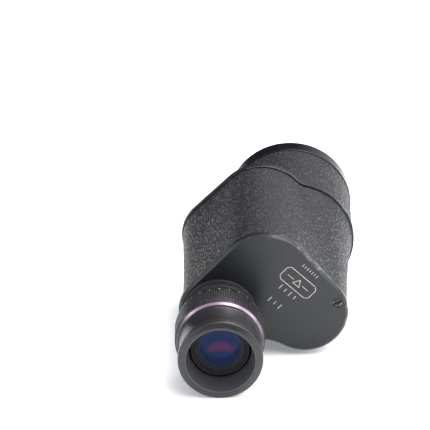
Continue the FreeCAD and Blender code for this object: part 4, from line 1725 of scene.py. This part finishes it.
# ---------------------------------------------------------------- studio
@dataclass
class Studio:
    """Pale floor, soft light and the camera."""
    placement: Placement
    yaw: float = 0.42
    pitch: float = 26.0
    roll: float = -0.39
    aim: tuple[float, float, float] = (19.99, -44.93, 1867.3)   # the cover's middle, from the camera, mm
    lens: float = 334.9
    sensor: float = 36.0
    # softboxes: name, place and size in metres, power in watts
    softboxes: tuple[tuple[str, tuple[float, float, float], Point2, float], ...] = (
        ("overhead", (0.26, 0.26, 0.80), (0.70, 0.80), 8.5),
        ("front", (0.38, -0.42, 0.66), (1.0, 0.20), 4.6),
        ("right", (0.85, -0.25, 0.42), (0.6, 0.5), 2.6), ("left", (-0.75, -0.55, 0.25), (0.20, 0.4), 1.5))
    tent: Colour = (0.93, 0.95, 1.0)
    dark: Colour = (0.03, 0.03, 0.032)
    tent_strength: float = 1.05
    paper: Colour = (0.92, 0.91, 0.90)
    paper_glow: Colour = (0.88, 0.92, 0.97)
    paper_glow_strength: float = 0.26
    # dark parts of the surroundings: direction, and the cosines where they start and are full
    dark_ways: tuple[tuple[tuple[float, float, float], float, float], ...] = (
        ((-0.30, 0.92, 0.16), 0.70, 0.84), ((-0.80, 0.55, 0.18), 0.66, 0.84),
        ((0.0, -1.0, 0.22), 0.80, 0.92))

    def build(self) -> None:
        """Make the floor, the lights, the surroundings and the camera."""
        self._floor()
        for softbox in self.softboxes:
            self._softbox(*softbox)
        self._surroundings()
        self._camera()

    def _floor(self) -> None:
        """Make the pale floor."""
        half = 3.0
        mesh = bpy.data.meshes.new("floor")
        mesh.from_pydata([(-half, -half, 0), (half, -half, 0), (half, half, 0), (-half, half, 0)], [],
                         [(0, 1, 2, 3)])
        paper = bpy.data.materials.new("white_paper")
        paper.use_nodes = True
        board = Board(paper.node_tree)
        shader = paper.node_tree.nodes["Principled BSDF"]
        board.feed(shader.inputs["Base Color"], self.paper)
        board.feed(shader.inputs["Roughness"], 0.85)
        board.feed(shader.inputs["Emission Color"], self.paper_glow)
        board.feed(shader.inputs["Emission Strength"], self.paper_glow_strength)
        mesh.materials.append(paper)
        floor = bpy.data.objects.new("floor", mesh)
        bpy.context.scene.collection.objects.link(floor)

    def _softbox(self, name: str, place: tuple[float, float, float], size: Point2,
                 power: float) -> None:
        """Hang one softbox, facing the monocular.

        Args:
            name: the light's name.
            place: where it hangs, in metres.
            size: its width and height in metres.
            power: its power in watts.
        """
        lamp = bpy.data.lights.new(name, "AREA")
        lamp.shape = "RECTANGLE"
        lamp.size, lamp.size_y = size
        lamp.energy = power
        box = bpy.data.objects.new(name, lamp)
        box.location = place
        aim = Vector((0.0, 0.0, 0.03)) - Vector(place)
        box.rotation_euler = aim.to_track_quat("-Z", "Y").to_euler()
        bpy.context.scene.collection.objects.link(box)

    def _surroundings(self) -> None:
        """Make the white tent round the table, darker behind on the left and low in front."""
        world = bpy.data.worlds.new("tent")
        world.use_nodes = True
        board = Board(world.node_tree)
        background = world.node_tree.nodes["Background"]
        coords = board.add("ShaderNodeTexCoord")
        share = 0.0
        for way, start, full in self.dark_ways:
            facing = board.add("ShaderNodeVectorMath", {"operation": "DOT_PRODUCT"},
                               {0: coords.outputs["Generated"], 1: Vector(way).normalized()})
            share = Value(board, facing.outputs["Value"]).rising(start, full).higher(share)
        board.feed(background.inputs["Color"], board.blend(share, self.tent, self.dark))
        board.feed(background.inputs["Strength"], self.tent_strength)
        bpy.context.scene.world = world

    def _camera(self) -> None:
        """Set the camera up on the eyepiece side, looking down on the cover."""
        yaw, pitch, roll = (math.radians(a) for a in (self.yaw, self.pitch, self.roll))
        ahead = Vector((math.sin(yaw) * math.cos(pitch), math.cos(yaw) * math.cos(pitch), -math.sin(pitch)))
        flat = Vector((math.cos(yaw), -math.sin(yaw), 0.0))
        upward = flat.cross(ahead)
        right = math.cos(roll) * flat + math.sin(roll) * upward
        up = -math.sin(roll) * flat + math.cos(roll) * upward
        middle = Vector((OBJECTIVE_X / 2, 0.0, 0.0))
        spot = middle - (self.aim[0] * right + self.aim[1] * up + self.aim[2] * ahead)
        turn = self.placement.turn @ Matrix((right, up, -ahead)).transposed()
        camera = bpy.data.objects.new("camera", bpy.data.cameras.new("camera"))
        camera.matrix_world = Matrix.Translation(self.placement.point(*spot)) @ turn.to_4x4()
        camera.data.lens = self.lens
        camera.data.sensor_width = self.sensor
        camera.data.clip_end = 50.0
        bpy.context.scene.collection.objects.link(camera)
        bpy.context.scene.camera = camera
        bpy.context.scene.view_settings.view_transform = "Standard"


def main() -> None:
    """Build the looks in order."""
    logging.basicConfig(level=logging.INFO)
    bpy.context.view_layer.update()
    placement = Placement.of_record(frame["record"])
    palette = {slot: finish.material() for slot, finish in FINISHES.items()}
    bench = Bench(placement, palette)
    InnerParts(palette).dress()
    PrismHousing(bench).build()
    CoverMarks(bench).build()
    ObjectiveBarrel(bench).build()
    EyepieceSeat(bench).build()
    EyeLens(bench).build()
    FocusingGrip(bench).build()
    Studio(placement).build()


if __name__ == "__main__":
    main()
